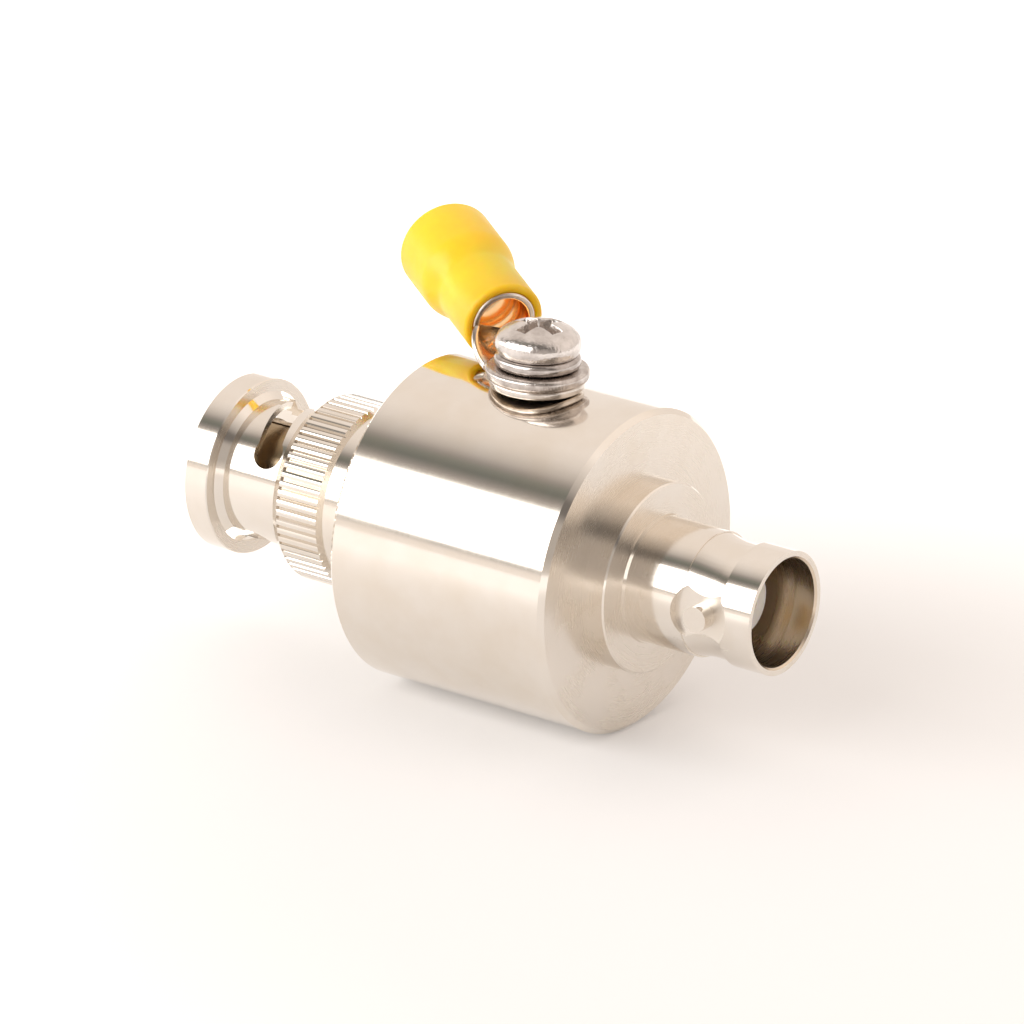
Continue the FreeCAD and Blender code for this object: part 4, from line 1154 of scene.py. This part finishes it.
    def sleeve(self) -> Skin:
        """Works out the sleeve: rounded rims, and a shoulder that rises as a smooth step of the length.

        Returns:
            The surface, marked with painted shade towards its crimped end.
        """
        front, rear = self.sleeve_setback, self.sleeve_setback + self.sleeve_length
        neck_end = front + self.neck_length
        share = np.linspace(0.0, 1.0, 30)
        step = share * share * (3.0 - 2.0 * share)
        shoulder = np.stack([neck_end + self.shoulder_length * share,
                             self.sleeve_radius + (self.bell_radius - self.sleeve_radius) * step], -1)
        quarter = np.linspace(0.0, math.pi / 2.0, 8)
        nose = np.stack([front + self.nose_rim * (1.0 - np.sin(quarter)[::-1]),
                         self.sleeve_radius - self.nose_rim * (1.0 - np.cos(quarter)[::-1])], -1)
        rim = np.stack([rear - self.bell_rim * (1.0 - np.sin(quarter)),
                        self.bell_radius - self.bell_rim * (1.0 - np.cos(quarter))], -1)
        snug = self.barrel_radius + self.snug_gap
        wall = [(rear, self.bell_bore + self.bore_rim), (rear - self.bore_rim, self.bell_bore),
                (neck_end + self.funnel_length, self.bell_bore), (self.barrel_length + self.barrel_gap, snug),
                (front + self.nose_rim, snug), (front, snug + self.nose_rim / 4.0)]
        neck = [(front + along, self.sleeve_radius) for along in self.neck_rings]
        line = np.vstack([nose, neck, shoulder, [(rear - self.bell_ring, self.bell_radius)], rim, wall])
        points = level_ring(line, self.sleeve_stations)
        # Painted shade: the crimped end is coloured a deeper orange-yellow, fading out along the sleeve
        painted_shade_share = np.clip(1.0 - (points[..., 0] - front) / self.painted_shade_end, 0.0, 1.0)
        return Skin(self.place(points, lifted=True), inside=painted_shade_share)

    def build(self) -> None:
        """Makes the terminal and its sleeve."""
        terminal = make_piece("crimp_ring_terminal", [self.ring(), self.strip(), self.barrel()])
        self.add(terminal, TIN, "terminal", "tinned_copper", "ring_terminal")
        sleeve = make_piece("vinyl_sleeve", [self.sleeve()])
        self.add(sleeve, VINYL, "terminal", "yellow_vinyl", "terminal_sleeve")


@dataclass
class PlugEnd(Assembly):
    """Bayonet plug with its coupling nut; the wave spring is made here as a waved ring.

    Places are along the connector's axis. The share that the spring keeps, its thickness when pressed, is not
    used.
    """

    waves: int = 3
    spring_start: float = -39.21
    spring_height: float = 1.0
    thickness: float = 0.22
    spring_radii: tuple[float, float] = (5.06, 5.84)
    spring_corner: float = 0.04
    spring_stations: int = 144
    keep: float = 0.3

    def wave_ring(self) -> bpy.types.Object:
        """Makes the wave spring: a flat strip closed into a ring, waved as a cosine of the turn.

        Returns:
            The spring.
        """
        section = rounded_box((self.spring_radii[0], 0.0), (self.spring_radii[1], self.thickness),
                              (self.spring_corner,) * 4, arc=2)
        points = level_ring(section[:, ::-1], self.spring_stations)
        turn = np.linspace(0.0, TURN, self.spring_stations, endpoint=False)
        amplitude = (self.spring_height - self.thickness) / 2.0
        points[..., 0] += self.spring_start + amplitude * (1.0 + np.cos(self.waves * turn))
        return make_piece("wave_ring", [Skin(points)])

    def build(self) -> None:
        """Dresses the plug and puts the spring between its flange and washer."""
        self.dress()
        spring = self.wave_ring()
        self.add(spring, SPRING_STEEL, "arrestor_body", "spring_steel", "wave_spring")
        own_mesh(spring)


def main() -> None:
    """Builds and dresses the arrestor, and lights it."""
    logging.basicConfig(level=logging.INFO, format="%(message)s")
    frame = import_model()
    library: dict[Finish, bpy.types.Material] = {}
    parts: list[Assembly] = [
        Assembly({NICKEL: ("body_housing", "jack_shell"), GOLD: ("jack_socket_contact",),
                  FLUOROPOLYMER: ("jack_insulator",)}, frame, library),
        Assembly({BRASS: ("centre_conductor",), FLUOROPOLYMER: ("gas_tube_carrier",),
                  ALUMINA: ("gas_tube_ceramic",),
                  CAP_NICKEL: ("gas_tube_line_electrode", "gas_tube_ground_electrode"),
                  SPRING_STEEL: ("contact_spring",)}, frame, library),
        PlugEnd({NUT_NICKEL: ("plug_body", "coupling_nut"), CONTACT_NICKEL: ("plug_contact_sleeve",),
                 GOLD: ("plug_centre_pin",), FLUOROPOLYMER: ("plug_insulator",), NITRILE: ("plug_gasket",),
                 SPRING_STEEL: ("nut_retaining_ring", "thrust_washer")}, frame, library),
        GroundStud({}, frame, library),
        WireTerminal({}, frame, library),
    ]
    for part in parts:
        part.build()
    studio = Studio()
    studio.light()
    studio.lay_floor(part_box("body_housing")[0][2])
    studio.place_camera()
    bpy.context.scene.view_settings.view_transform = "Standard"


if __name__ == "__main__":
    main()
